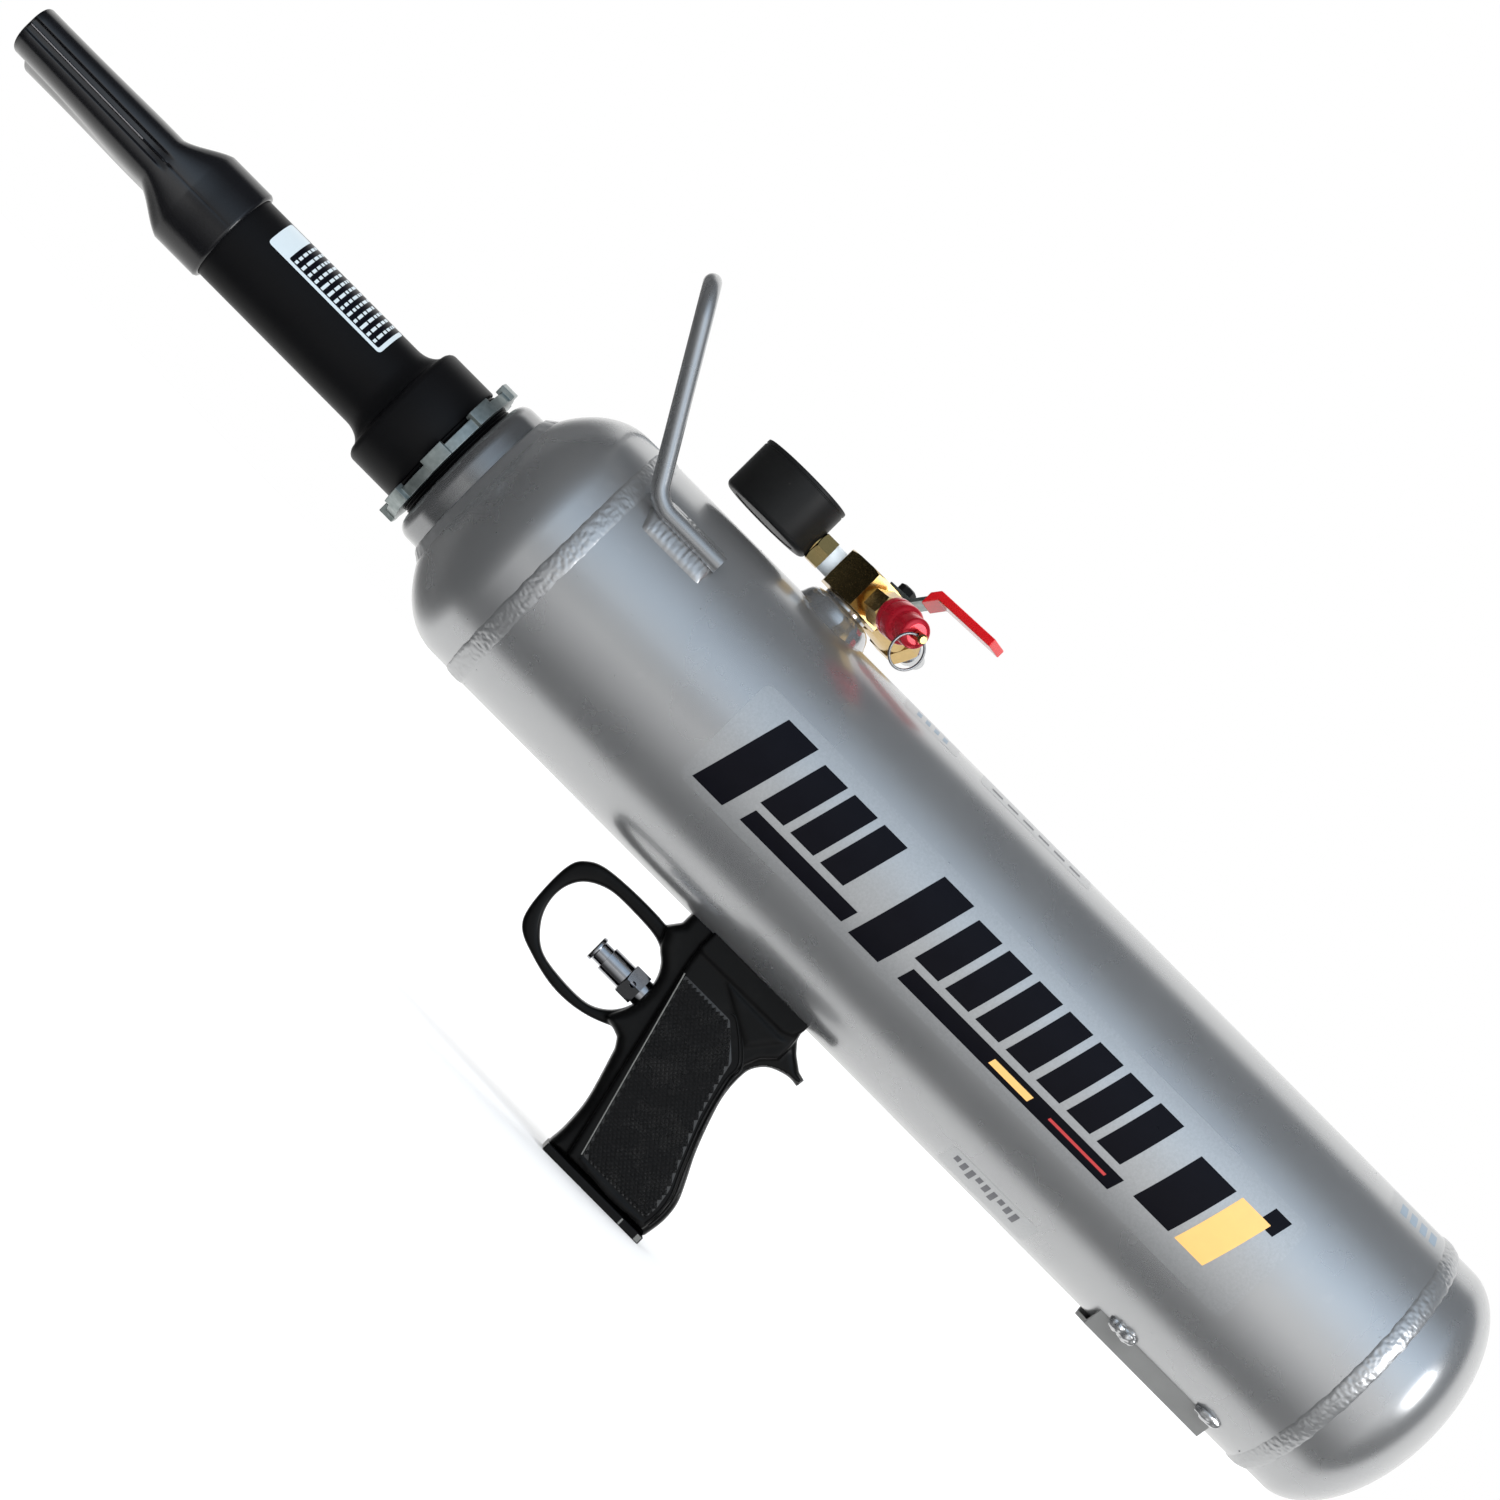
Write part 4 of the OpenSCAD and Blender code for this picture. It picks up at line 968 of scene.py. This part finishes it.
def makeBarrel():
    # an outline of (x, radius) in millimetres: seat, seal groove, thread, base, flare and pipe
    b = barrel
    groove, thread = b["ringGroove"], b["thread"]
    outline = [(b["seat"], b["bore"]), (b["seat"], b["bore"] + b["wall"]), (b["stepX"], 22.5),
               (b["stepX"], 28), (b["stepX"] + 1.5, b["threadR"]), (groove["back"], b["threadR"])]
    outline += [(x, b["threadR"] - groove["deep"]) for x in (groove["back"], groove["front"])]
    outline.append((groove["front"], b["threadR"]))
    x = b["collarFront"] - thread["lead"]
    while x < b["baseBack"] - 1.5:
        crest = x + thread["flank"]
        outline.append((x, b["threadR"] - thread["deep"]))
        outline += [(crest, b["threadR"]), (crest + thread["crest"], b["threadR"])]
        x += thread["pitch"]
    outline += [(b["baseBack"] - 0.6, b["threadR"] - 0.5), (b["baseBack"], b["threadR"] - 0.5)]
    outline += [(b["baseBack"] + dx, b["baseR"] - dr) for dx, dr in ((0, 0.9), (0.3, 0.3), (0.9, 0))]
    outline += [(b["baseFront"] - dx, b["baseR"] - dr) for dx, dr in ((3, 0), (1.8, 0.35), (0.8, 1.1))]
    flareR = b["baseR"] - b["flareDrop"]
    outline.append((b["baseFront"], flareR))
    for k in range(1, 13):
        a = math.pi / 2 * k / 12
        outline.append((b["flareFront"] - (b["flareFront"] - b["baseFront"]) * math.cos(a),
                        flareR - (flareR - b["r"]) * math.sin(a)))
    outline += [(x, b["r"]) for x in (320, 360, b["front"])] + [(b["front"], b["bore"])]
    turnedOnAxis("barrelTube", [(x * mm, r * mm) for x, r in outline], "barrelBlack",
                 "barrel", ["barrel_tube"], 200, 32)


def smoothLoop(points, steps=6, closed=True):
    # a rounded curve through all the points
    m = len(points)
    out = []
    last = m if closed else m - 1
    for i in range(last):
        if closed:
            a, b, c, d = (Vector(points[(i + k) % m]) for k in (-1, 0, 1, 2))
        else:
            a, b, c, d = (Vector(points[min(max(i + k, 0), m - 1)]) for k in (-1, 0, 1, 2))
        for k in range(steps):
            t = k / steps
            out.append(tuple(0.5 * (2 * b + (c - a) * t + (2 * a - 5 * b + 4 * c - d) * t * t
                                    + (3 * b - a - 3 * c + d) * t ** 3)))
    if not closed:
        out.append(tuple(points[-1]))
    return out


def shrunk(points, amount):
    # an outline moved inwards by an amount, corner by corner
    area = sum(a[0] * b[1] - b[0] * a[1] for a, b in zip(points, points[1:] + points[:1]))
    inwards = 1 if area > 0 else -1
    out = []
    for i, p in enumerate(points):
        before = (Vector(p) - Vector(points[i - 1])).normalized()
        after = (Vector(points[(i + 1) % len(points)]) - Vector(p)).normalized()
        normal = Vector((-(before.y + after.y), before.x + after.x))
        if normal.length < 1e-6:
            out.append(tuple(p))
            continue
        normal.normalize()
        out.append(tuple(Vector(p) + normal * amount * inwards))
    return out


def loft(bm, points, layers):
    # a side outline in millimetres, shrunk by an amount at each place across y
    rings = []
    for y, amount in layers:
        rings.append([bm.verts.new((x * mm, y * mm, z * mm)) for x, z in shrunk(points, amount)])
    n = len(points)
    for ring, after in zip(rings, rings[1:]):
        for k in range(n):
            j = (k + 1) % n
            bm.faces.new((ring[k], ring[j], after[j], after[k]))
    bm.faces.new(rings[0])
    bm.faces.new(rings[-1])


def mirroredLayers(half):
    # layers given from the middle outwards
    return [(-y, amount) for y, amount in half[::-1]] + half


# the grip's outlines are (x, z) in millimetres, seen from its side
grip = {
    "front": [(35.3, 49.9), (31.8, 39), (29, 29.3), (27.7, 22), (27.1, 11.5), (27.7, 3.7)],
    "back": [(-27.7, 3.7), (-29.2, 14), (-28.2, 23.3), (-24.3, 32.2), (-18.4, 44), (-12.5, 59.8),
             (-10, 69.6), (-9.5, 79.5), (-11, 85), (-15.4, 89.8), (-23.3, 92.6), (-28.7, 92.2)],
    "tang": [(-29.2, 96.2), (-25.3, 97.2), (-19.3, 101.6), (-15.4, 106), (-13.9, 111.4), (-13.9, 118)],
    "top": [(52.3, 118), (52.3, 106.5), (56.5, 100.8), (52, 93), (46.5, 88), (43.4, 82), (42.5, 76),
            (42.8, 69), (44.6, 63.7), (47.5, 57), (41.7, 55.3), (38, 53.9)],
    "cheek": [(40, 118), (40.4, 103), (39.6, 97), (37.6, 88), (18.6, 5.5), (-24.8, 5.5), (-26, 14),
              (-24.9, 24), (-19.6, 35.5), (-14, 49.5), (-9.3, 64), (-7, 75), (-6.8, 83), (-9.5, 89.5),
              (-15, 95), (-15, 102), (-13, 118)],
    "rib": [(40.8, 118), (40.8, 104.6), (38.8, 103.2), (-8, 103.7), (-12.4, 105.6), (-14.2, 110),
            (-14.4, 118)],
    "facet": [(23, 102.4), (-12.5, 102), (-8, 95.5), (-1.8, 88)],
    "lens": [(15, 8.6), (8, 6.4), (-4, 5.0), (-14, 5.4), (-23, 8.2), (-14, 9.2), (0, 9.6)],
    "panel": [(36.8, 92.2), (10.7, 92.2), (-2.1, 80.4), (-3.6, 73.5), (-8.5, 55.8), (-16.4, 36.1),
              (-21.3, 25.3), (-22.8, 16.5), (-22.3, 10.1), (14.1, 10.1)],
    "border": [(12.5, 94.6), (8, 93.6), (-4.4, 82.4), (-5.6, 73.2), (-10.3, 55.2), (-18.2, 35.4),
               (-23, 24.8), (-24.5, 16.4), (-24, 8.4)],
    "voxel": 0.62 * mm,
    "diamond": 1.75,
}

guard = {
    "outer": [(56, 100.9), (87, 100.6), (99, 96), (103, 87), (102.2, 67.6), (98, 57.8), (87, 52.9),
              (72, 49.6), (57.4, 50.4), (44, 55), (34, 62), (30, 78), (38, 94)],
    "inner": [(56, 94.2), (69, 95.2), (83, 94.6), (92.9, 89.8), (97.4, 82), (97.4, 73), (93.5, 64.5),
              (85, 57), (72, 54.6), (57.4, 54.8), (48.6, 59.3), (43.5, 67), (42.5, 76), (44, 83.5),
              (49, 90.5)],
    "centre": (70, 76),
    "halfThick": 6,
    "around": 144,
    "section": 24,
}


def rayLength(points, centre, angle):
    # how far an outline lies from a centre, in one direction
    way = Vector((math.cos(angle), math.sin(angle)))
    best = 0
    for a, b in zip(points, points[1:] + points[:1]):
        pa = Vector(a) - Vector(centre)
        edge = Vector(b) - Vector(a)
        cross = way.x * edge.y - way.y * edge.x
        if abs(cross) < 1e-9:
            continue
        t = (pa.x * edge.y - pa.y * edge.x) / cross
        u = (pa.x * way.y - pa.y * way.x) / cross
        if t > 0 and -1e-6 <= u <= 1 + 1e-6:
            best = max(best, t)
    return best


def guardRing(bm):
    g = guard
    outer, inner = smoothLoop(g["outer"]), smoothLoop(g["inner"])
    rings = []
    for i in range(g["around"]):
        angle = math.tau * i / g["around"]
        far, near = rayLength(outer, g["centre"], angle), rayLength(inner, g["centre"], angle)
        middle, half = (far + near) / 2, (far - near) / 2
        ring = []
        for k in range(g["section"]):
            a = math.tau * k / g["section"]
            d = middle + half * signedPower(math.cos(a), 0.45)
            y = g["halfThick"] * signedPower(math.sin(a), 0.45)
            ring.append(bm.verts.new(((g["centre"][0] + d * math.cos(angle)) * mm, y * mm,
                                      (g["centre"][1] + d * math.sin(angle)) * mm)))
        rings.append(ring)
    for i, ring in enumerate(rings):
        after = rings[(i + 1) % len(rings)]
        for k in range(g["section"]):
            j = (k + 1) % g["section"]
            bm.faces.new((ring[k], ring[j], after[j], after[k]))


def makeGripFrame():
    side = (smoothLoop(grip["front"], 4, False) + smoothLoop(grip["back"], 4, False) + grip["tang"]
            + grip["top"][:2] + smoothLoop(grip["top"][2:], 3, False))
    bm = bmesh.new()
    loft(bm, side, mirroredLayers([(5.5, 0), (8, 0.35), (9.6, 1.1), (10.6, 2.3), (11, 3.6)]))
    loft(bm, grip["cheek"], mirroredLayers([(12, 0), (13.2, 0.25), (13.8, 0.9), (14, 1.6)]))
    loft(bm, grip["rib"], mirroredLayers([(13.6, 0), (14.5, 0.3), (14.9, 1.1)]))
    loft(bm, grip["facet"], mirroredLayers([(13.7, 0), (14.4, 1.0), (14.8, 3.0)]))
    loft(bm, grip["lens"], mirroredLayers([(13.7, 0), (14.3, 0.7), (14.6, 1.6)]))
    guardRing(bm)
    bmesh.ops.recalc_face_normals(bm, faces=bm.faces)
    rough = bpy.data.meshes.new("gripRough")
    bm.to_mesh(rough)
    bm.free()
    lump = bpy.data.objects.new("gripRough", rough)
    bpy.context.scene.collection.objects.link(lump)
    union = lump.modifiers.new("union", "REMESH")
    union.mode = "VOXEL"
    union.voxel_size = grip["voxel"]
    soft = lump.modifiers.new("soft", "SMOOTH")
    soft.factor = 0.5
    soft.iterations = 4
    made = bpy.data.meshes.new_from_object(lump.evaluated_get(bpy.context.evaluated_depsgraph_get()))
    bpy.data.objects.remove(lump)
    bm = bmesh.new()
    bm.from_mesh(made)
    inside = tank["radius"] - 1.2 * mm
    for v in bm.verts:
        r, _ = radial(v)
        if r < inside:
            v.co.z = tank["axisZ"] - math.sqrt(inside ** 2 - v.co.y ** 2)
        v.co.z = max(v.co.z, 3.72 * mm)
    finishPiece("gripFrame", bm, "grip", "tank", ["grip_frame"], 180)


def wire(bm, path, radius, y, sides=10):
    # a round line along points in x and z
    rings = []
    for i, p in enumerate(path):
        ahead = Vector(path[min(i + 1, len(path) - 1)]) - Vector(path[max(i - 1, 0)])
        across = Vector((-ahead.y, ahead.x)).normalized()
        ring = []
        for k in range(sides):
            a = math.tau * k / sides
            spot = Vector(p) + across * radius * math.cos(a)
            ring.append(bm.verts.new((spot.x * mm, (y + radius * math.sin(a)) * mm, spot.y * mm)))
        rings.append(ring)
    for ring, after in zip(rings, rings[1:]):
        for k in range(sides):
            j = (k + 1) % sides
            bm.faces.new((ring[k], ring[j], after[j], after[k]))
    bm.faces.new(rings[0])
    bm.faces.new(rings[-1])


def makeGripLines():
    bm = bmesh.new()
    ribs = smoothLoop(grip["border"], 5, False)
    outerRib = [(x - 1.5, z + 0.5) for x, z in ribs]
    for side in (1, -1):
        wire(bm, ribs, 0.55, side * 13.85)
        wire(bm, outerRib, 0.5, side * 13.75)
    finishPiece("gripBorderRibs", bm, "grip", "tank", (), 60)
    bm = bmesh.new()
    for side in (1, -1):
        wire(bm, [(37.5, 92.6), (14.7, 9.9)], 0.3, side * 13.95)
        for x, wide in ((-16.1, 0.8), (-26, 2.4)):
            place = Matrix.Translation((x * mm, side * 13.5 * mm, 1.85 * mm))
            size = Matrix.Diagonal((wide * mm, 0.16 * mm, 2.9 * mm, 1))
            bmesh.ops.create_cube(bm, size=1, matrix=place @ size)
    finishPiece("gripPinLines", bm, "pinLine", "tank", (), 60)


def spanAt(points, z):
    hits = []
    for a, b in zip(points, points[1:] + points[:1]):
        if (a[1] - z) * (b[1] - z) <= 0 and a[1] != b[1]:
            hits.append(a[0] + (b[0] - a[0]) * (z - a[1]) / (b[1] - a[1]))
    return (min(hits), max(hits)) if hits else (0, 0)


def makeGripPanel(side, name, node):
    # checkered face: little pyramids between crossing cuts, on a crowned panel
    shape = grip["panel"]
    bm = bmesh.new()
    bm.faces.new([bm.verts.new((x, 0, z)) for x, z in rounded(shape, 1.2, 3)])
    for lean in (1, -1):
        way = Vector((1, 0, lean * 0.85)).normalized()
        for k in range(-60, 90):
            bmesh.ops.bisect_plane(bm, geom=bm.verts[:] + bm.edges[:] + bm.faces[:], dist=1e-5,
                                   plane_co=way * k * grip["diamond"], plane_no=way)
    inner = shrunk(shape, 0.6)

    def within(p):
        low, high = spanAt(inner, p.z)
        return low < p.x < high and 10.7 < p.z < 91.6

    peaks = [f for f in bm.faces if within(f.calc_center_median()) and f.calc_area() > 0.5]
    rims = [e for e in bm.edges if e.is_boundary]
    made = bmesh.ops.poke(bm, faces=peaks)
    tips = set(made["verts"])
    back = bmesh.ops.extrude_edge_only(bm, edges=rims)["geom"]
    backVerts = {g for g in back if isinstance(g, bmesh.types.BMVert)}
    for v in bm.verts:
        low, high = spanAt(shape, min(max(v.co.z, 10.2), 92.1))
        u = (v.co.x - (low + high) / 2) / max(1, (high - low) / 2)
        crown = 14.05 + 0.9 * (1 - u * u) * min(1, (v.co.z - 9) / 8, (93.2 - v.co.z) / 8)
        v.co.y = side * (12.6 if v in backVerts else crown + (0.95 if v in tips else 0))
    bmesh.ops.contextual_create(bm, geom=[g for g in back if isinstance(g, bmesh.types.BMEdge)
                                          and all(v in backVerts for v in g.verts)])
    bmesh.ops.scale(bm, vec=(mm, mm, mm), verts=bm.verts)
    finishPiece(name, bm, "gripPanel", "tank", [node], 20)


gauge = {
    "x": 147,
    "r": 22.35,
    "bottom": lo("gauge_case").z,
    "dial": hi("gauge_dial").z,
    "round": 2.6,
    "bezelR": 21.2,
    "boreR": 20.2,
    "holeR": 16.5,
    "first": 225,
    "sweep": 270,
    "ticks": 80,
    "numbers": 8,
    "top": 160,
    "tickR": 18.6,
    "numberR": 12.8,
}


def makeGaugeCase():
    # an outline of (height, radius) in millimetres, with a snap groove under the bezel
    g = gauge
    spot = Vector((g["x"] * mm, 0, g["bottom"]))
    turns = [math.pi / 2 * k / 6 for k in range(7)]
    outline = [(0, g["holeR"])]
    outline += [(g["round"] * (1 - math.cos(a)), g["r"] - g["round"] * (1 - math.sin(a))) for a in turns]
    snap = [(23.4, 0), (23.7, 0.3), (24.1, 0.3), (24.4, 0), (25.5, 0), (25.85, 0.15), (26, 0.5)]
    outline += [(h, g["r"] - inset) for h, inset in snap]
    outline += [(h, g["bezelR"]) for h in (25.6, 22.5)] + [(h, g["boreR"]) for h in (22.5, 1.8)]
    outline.append((1.8, g["holeR"]))
    bm = bmesh.new()
    spinZ(bm, [(h * mm, r * mm) for h, r in outline], spot, 160)
    bmesh.ops.create_circle(bm, cap_ends=True, radius=(g["holeR"] + 0.1) * mm, segments=96,
                            matrix=Matrix.Translation(spot + Vector((0, 0, 0.4 * mm))))
    finishPiece("gaugeCase", bm, "caseBlack", "tank", ["gauge_case"], 40)


def flatNumber(number, size):
    # a number as a flat mesh round the origin
    data = bpy.data.curves.new("number", "FONT")
    data.body = str(number)
    data.size = size
    data.align_x = "CENTER"
    data.align_y = "CENTER"
    holder = bpy.data.objects.new("number", data)
    bpy.context.scene.collection.objects.link(holder)
    shape = bpy.data.meshes.new_from_object(holder.evaluated_get(bpy.context.evaluated_depsgraph_get()))
    bpy.data.objects.remove(holder)
    return shape


def makeGaugeMarks():
    g = gauge
    bm = bmesh.new()
    for i in range(g["ticks"] + 1):
        angle = math.radians(g["first"] - g["sweep"] * i / g["ticks"])
        long = 3.4 if i % 10 == 0 else 2.4 if i % 5 == 0 else 1.4
        wide = 0.5 if i % 10 == 0 else 0.22
        turn = Matrix.Translation((g["x"] * mm, 0, g["dial"] + 0.04 * mm)) @ Matrix.Rotation(angle, 4, "Z")
        slide = Matrix.Translation(((g["tickR"] - long / 2) * mm, 0, 0))
        size = Matrix.Diagonal((long * mm, wide * mm, 0.06 * mm, 1))
        bmesh.ops.create_cube(bm, size=1, matrix=turn @ slide @ size)
    for i in range(g["numbers"] + 1):
        shape = flatNumber(int(g["top"] * i / g["numbers"]), 3.1 * mm)
        angle = math.radians(g["first"] - g["sweep"] * i / g["numbers"])
        x, y = g["x"] + g["numberR"] * math.cos(angle), g["numberR"] * math.sin(angle)
        spot = Vector((x * mm, y * mm, g["dial"] + 0.05 * mm))
        shape.transform(Matrix.Translation(spot) @ Matrix.Rotation(-math.pi / 2, 4, "Z"))
        bm.from_mesh(shape)
        bpy.data.meshes.remove(shape)
    finishPiece("gaugeMarks", bm, "ink", "tank", (), 60, False)


safety = {
    "cap": [(33, 7.5, 0), (33, 8.7, 0.5), (36.2, 8.7, 0.2), (36.5, 8.35, 0.2), (37.1, 8.35, 0.2),
            (37.4, 8.7, 0.2), (43.4, 8.7, 1.6), (45, 6.9, 0.5), (46.2, 6.6, 0.3), (46.6, 6.75, 0.2),
            (54, 6.75, 1.2), (54.8, 4.6, 0.4), (54.8, 1.7, 0), (51.5, 1.7, 0), (51.5, 5, 0), (38, 5, 0),
            (38, 7.5, 0)],
    "ringR": 7.9,
    "ringWire": 0.58,
}


def makeSafety():
    # the cap's outline is (distance along the port, radius, corner) in millimetres
    angle = port["safety"]
    bm = bmesh.new()
    outline = [(a * mm, r * mm) for a, r in rounded(safety["cap"], 0.3)]
    spun(bm, outline, portSpot(angle, 0), portAxis(angle), upZ, 96)
    finishPiece("safetyCap", bm, "redCap", bodyOf["safety_cap"], ["safety_cap"], 50)

    bm = bmesh.new()
    turns = [math.tau * k / 14 for k in range(14)]
    wireR = safety["ringWire"]
    circle = [(wireR * math.cos(a) * mm, (safety["ringR"] + wireR * math.sin(a)) * mm) for a in turns]
    spun(bm, circle, mid("pull_ring"), portAxis(angle), upZ, 96)
    finishPiece("pullRing", bm, "spring", bodyOf["pull_ring"], ["pull_ring"], 90)


def makeSpring(node, name):
    # a coil copied from its CAD node onto a mesh of its own; its fixed end is the one the axis points to
    bm = mergedCopy(node)
    piece = finishPiece(name, bm, "spring", bodyOf[node], [node], 60)
    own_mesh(piece)


shellR = round(tank["radius"] / mm, 1)


def arcOf(z, radius=shellR):
    # distance round the shell for a height above its axis
    return radius * math.asin(max(-1, min(1, z / radius)))


def wrapped(name, shapes, material, lift, radius=shellR, body="tank", slot="tank_paint"):
    # flat shapes in x and distance round the shell, laid onto it and cut into strips that follow it
    bm = bmesh.new()
    for shape in shapes:
        bm.faces.new([bm.verts.new((x, s, 0)) for x, s in shape])
    low, high = min(v.co.y for v in bm.verts), max(v.co.y for v in bm.verts)
    cuts = int((high - low) / 1.2) + 1
    for k in range(1, cuts):
        bmesh.ops.bisect_plane(bm, geom=bm.verts[:] + bm.edges[:] + bm.faces[:], dist=1e-5,
                               plane_co=(0, low + (high - low) * k / cuts, 0), plane_no=(0, 1, 0))
    for v in bm.verts:
        angle = v.co.y / radius
        r = (radius + lift) * mm
        v.co = Vector((v.co.x * mm, r * math.cos(angle), tank["axisZ"] + r * math.sin(angle)))
    for f in bm.faces:
        if f.normal.y < 0:
            f.normal_flip()
    finishPiece(name, bm, material, body, (), 60, False)


def slanted(x, width, low, high, lean=0.26):
    # a leaning block: its top edge lies further back
    a, b = arcOf(low), arcOf(high)
    back = (b - a) * lean
    return [(x, a), (x - back, b), (x - back - width, b), (x - width, a)]


def band(x, far, low, high, radius=shellR):
    # an upright block from x to far, between two heights above the axis
    a, b = arcOf(low, radius), arcOf(high, radius)
    return [(x, a), (x, b), (far, b), (far, a)]


def makeDecals():
    # generic blocks and bars: a tall one starts each group, and a bar runs under it
    low, high, base = -11.9, 17.4, -22.5
    film = rounded(band(99, -211.5, -27.5, 25), 5, 6)
    wrapped("mainDecalFilm", [film], "film", 0.03)
    blocks = [slanted(94, 17, -23.6, 19.9), slanted(5, 17, -23.6, 19.9)]
    blocks += [slanted(67 - 17 * i, 13.2, low, high) for i in range(3)]
    blocks += [slanted(-21 - 17.3 * i, 13.4, low, high) for i in range(7)]
    blocks += [slanted(-151, 20, -17, 13.9), slanted(-193, 9, 11, 20.5)]
    blocks += [slanted(68, 58, base, -15.2), slanted(-22, 120, base, -15.2)]
    wrapped("mainDecalBlocks", blocks, "ink", 0.07)
    oranges = [slanted(-174.5, 16, -17, 13.9), slanted(-72, 22, -20.5, -17.5)]
    wrapped("mainDecalOrange", oranges, "orangeInk", 0.09)
    wrapped("mainDecalRed", [slanted(-105, 32, -19.6, -18.4)], "redInk", 0.09)
    films = [rounded(band(53, 22, 59.2, 63.2), 2, 4), rounded(band(8, -55, 59.2, 63.2), 2, 4),
             rounded(band(-233, -262, 54.5, 62.4), 2, 4), rounded(band(-89, -138, -62, -53.5), 3, 5)]
    wrapped("smallDecalFilms", films, "film", 0.03)
    marks = [band(46 - 5 * i, 43.5 - 5 * i, 60.4, 62.2) for i in range(4)]
    marks += [band(-238 - 5.5 * i, -241.5 - 5.5 * i, 56.5, 60.5) for i in range(4)]
    wrapped("smallDecalBlue", marks, "blueInk", 0.06)
    dashes = [band(2 - 9 * i, -4 - 9 * i, 60.6, 61.4) for i in range(6)]
    wrapped("smallDecalGrey", dashes, "greyInk", 0.06)
    rows = [band(-93 - 4.2 * i, -95.6 - 4.2 * i, -57.6 - (i % 3) * 0.8, -55.4) for i in range(9)]
    wrapped("smallDecalRows", rows, "greyInk", 0.06)


label = {"front": 372, "back": 307, "low": 8, "high": 20.6, "columns": 13, "columnStep": 3.8, "barWide": 1.5,
         "gap": 0.9}


def makeBarrelLabel():
    # a white label with a dark panel and blank white bars in columns
    r = barrel["r"]
    on = {"radius": r, "body": "barrel", "slot": "black_paint"}
    plate = rounded(band(label["front"], label["back"], label["low"], label["high"], r), 2, 5)
    wrapped("barrelLabel", [plate], "labelWhite", 0.04, **on)
    panel = rounded(band(361, 309, 9.3, 20.85, r), 0.8, 4)
    wrapped("barrelLabelPanel", [panel], "ink", 0.07, **on)
    bars = []
    end, wide = arcOf(20.7, r), label["barWide"]
    for column in range(label["columns"]):
        x = 358.6 - label["columnStep"] * column
        s, step = arcOf(9.8, r), 0
        while s < end - wide:
            long = min(end - s, 1.5 + 5 * abs(noise.noise(Vector((column * 7.3, step * 1.9, 0.4)))))
            bars.append([(x, s), (x, s + long), (x - wide, s + long), (x - wide, s)])
            s += long + label["gap"]
            step += 1
    wrapped("barrelLabelBars", bars, "labelWhite", 0.1, **on)


makeInlet()
makeFootWelds()
makeNozzle()
makeBarrel()
print("nozzle and barrel ready")
makeGripFrame()
makeGripLines()
makeGripPanel(1, "leftGripPanel", "left_grip_panel")
makeGripPanel(-1, "rightGripPanel", "right_grip_panel")
print("grip ready")
makeGaugeCase()
makeGaugeMarks()
makeSafety()
makeSpring("piston_spring", "pistonSpring")
makeSpring("trigger_spring", "triggerSpring")
makeSpring("safety_spring", "safetySpring")
makeDecals()
makeBarrelLabel()
for node, width, material, name, slot in (
        ("lock_nut", 0.3 * mm, "zinc", "lockNut", "zinc"),
        ("manifold_block", 0.5 * mm, "brass", "manifoldBlock", "brass"),
        ("gauge_stem", 0.2 * mm, "brass", "gaugeStem", "brass"),
        ("safety_body", 0.2 * mm, "brass", "safetyBody", "brass"),
        ("safety_stem", 0.12 * mm, "brass", "safetyStem", "brass"),
        ("ball_valve_body", 0.25 * mm, "brass", "ballValveBody", "brass"),
        ("air_plug", 0.2 * mm, "nickel", "airPlug", "nickel"),
        ("valve_lever", 0.25 * mm, "zinc", "valveLever", "zinc"),
        ("lever_sleeve", 0.7 * mm, "redVinyl", "leverSleeve", "red_vinyl"),
        ("lever_nut", 0.18 * mm, "blackPlastic", "leverNut", "black_plastic"),
        ("trigger_body", 0.22 * mm, "darkChrome", "triggerBody", "dark_chrome"),
        ("trigger_button", 0.2 * mm, "darkChrome", "triggerButton", "dark_chrome"),
        ("foot_bracket", 0.4 * mm, "footPaint", "footBracket", "foot_grey"),
        ("butt_plate", 0.5 * mm, "grip", "buttPlate", "grip_plastic")):
    softened(node, width, material, name)
print("valves ready")


slotLook = {
    "tank_paint": "paint", "black_paint": "barrelBlack", "black_cast": "nozzleBlack", "zinc": "zinc",
    "steel": "steel", "spring_steel": "spring", "dark_chrome": "darkChrome", "nickel": "nickel",
    "brass": "brass", "copper": "copper", "red_anodised": "redCap", "red_vinyl": "redVinyl",
    "black_plastic": "blackPlastic", "grip_plastic": "grip", "white_plastic": "seat",
    "thread_tape": "tape", "dial_white": "dial", "lens": "lens", "rubber": "rubber",
    "foot_grey": "footPaint", "piston_alloy": "aluminium",
}
slotOf = {row["node"]: row["material_slot"] for row in frame["record"]["subparts"]}
for name, node in nodes.items():
    node.data.materials.clear()
    node.data.materials.append(look[slotLook[slotOf[name]]])
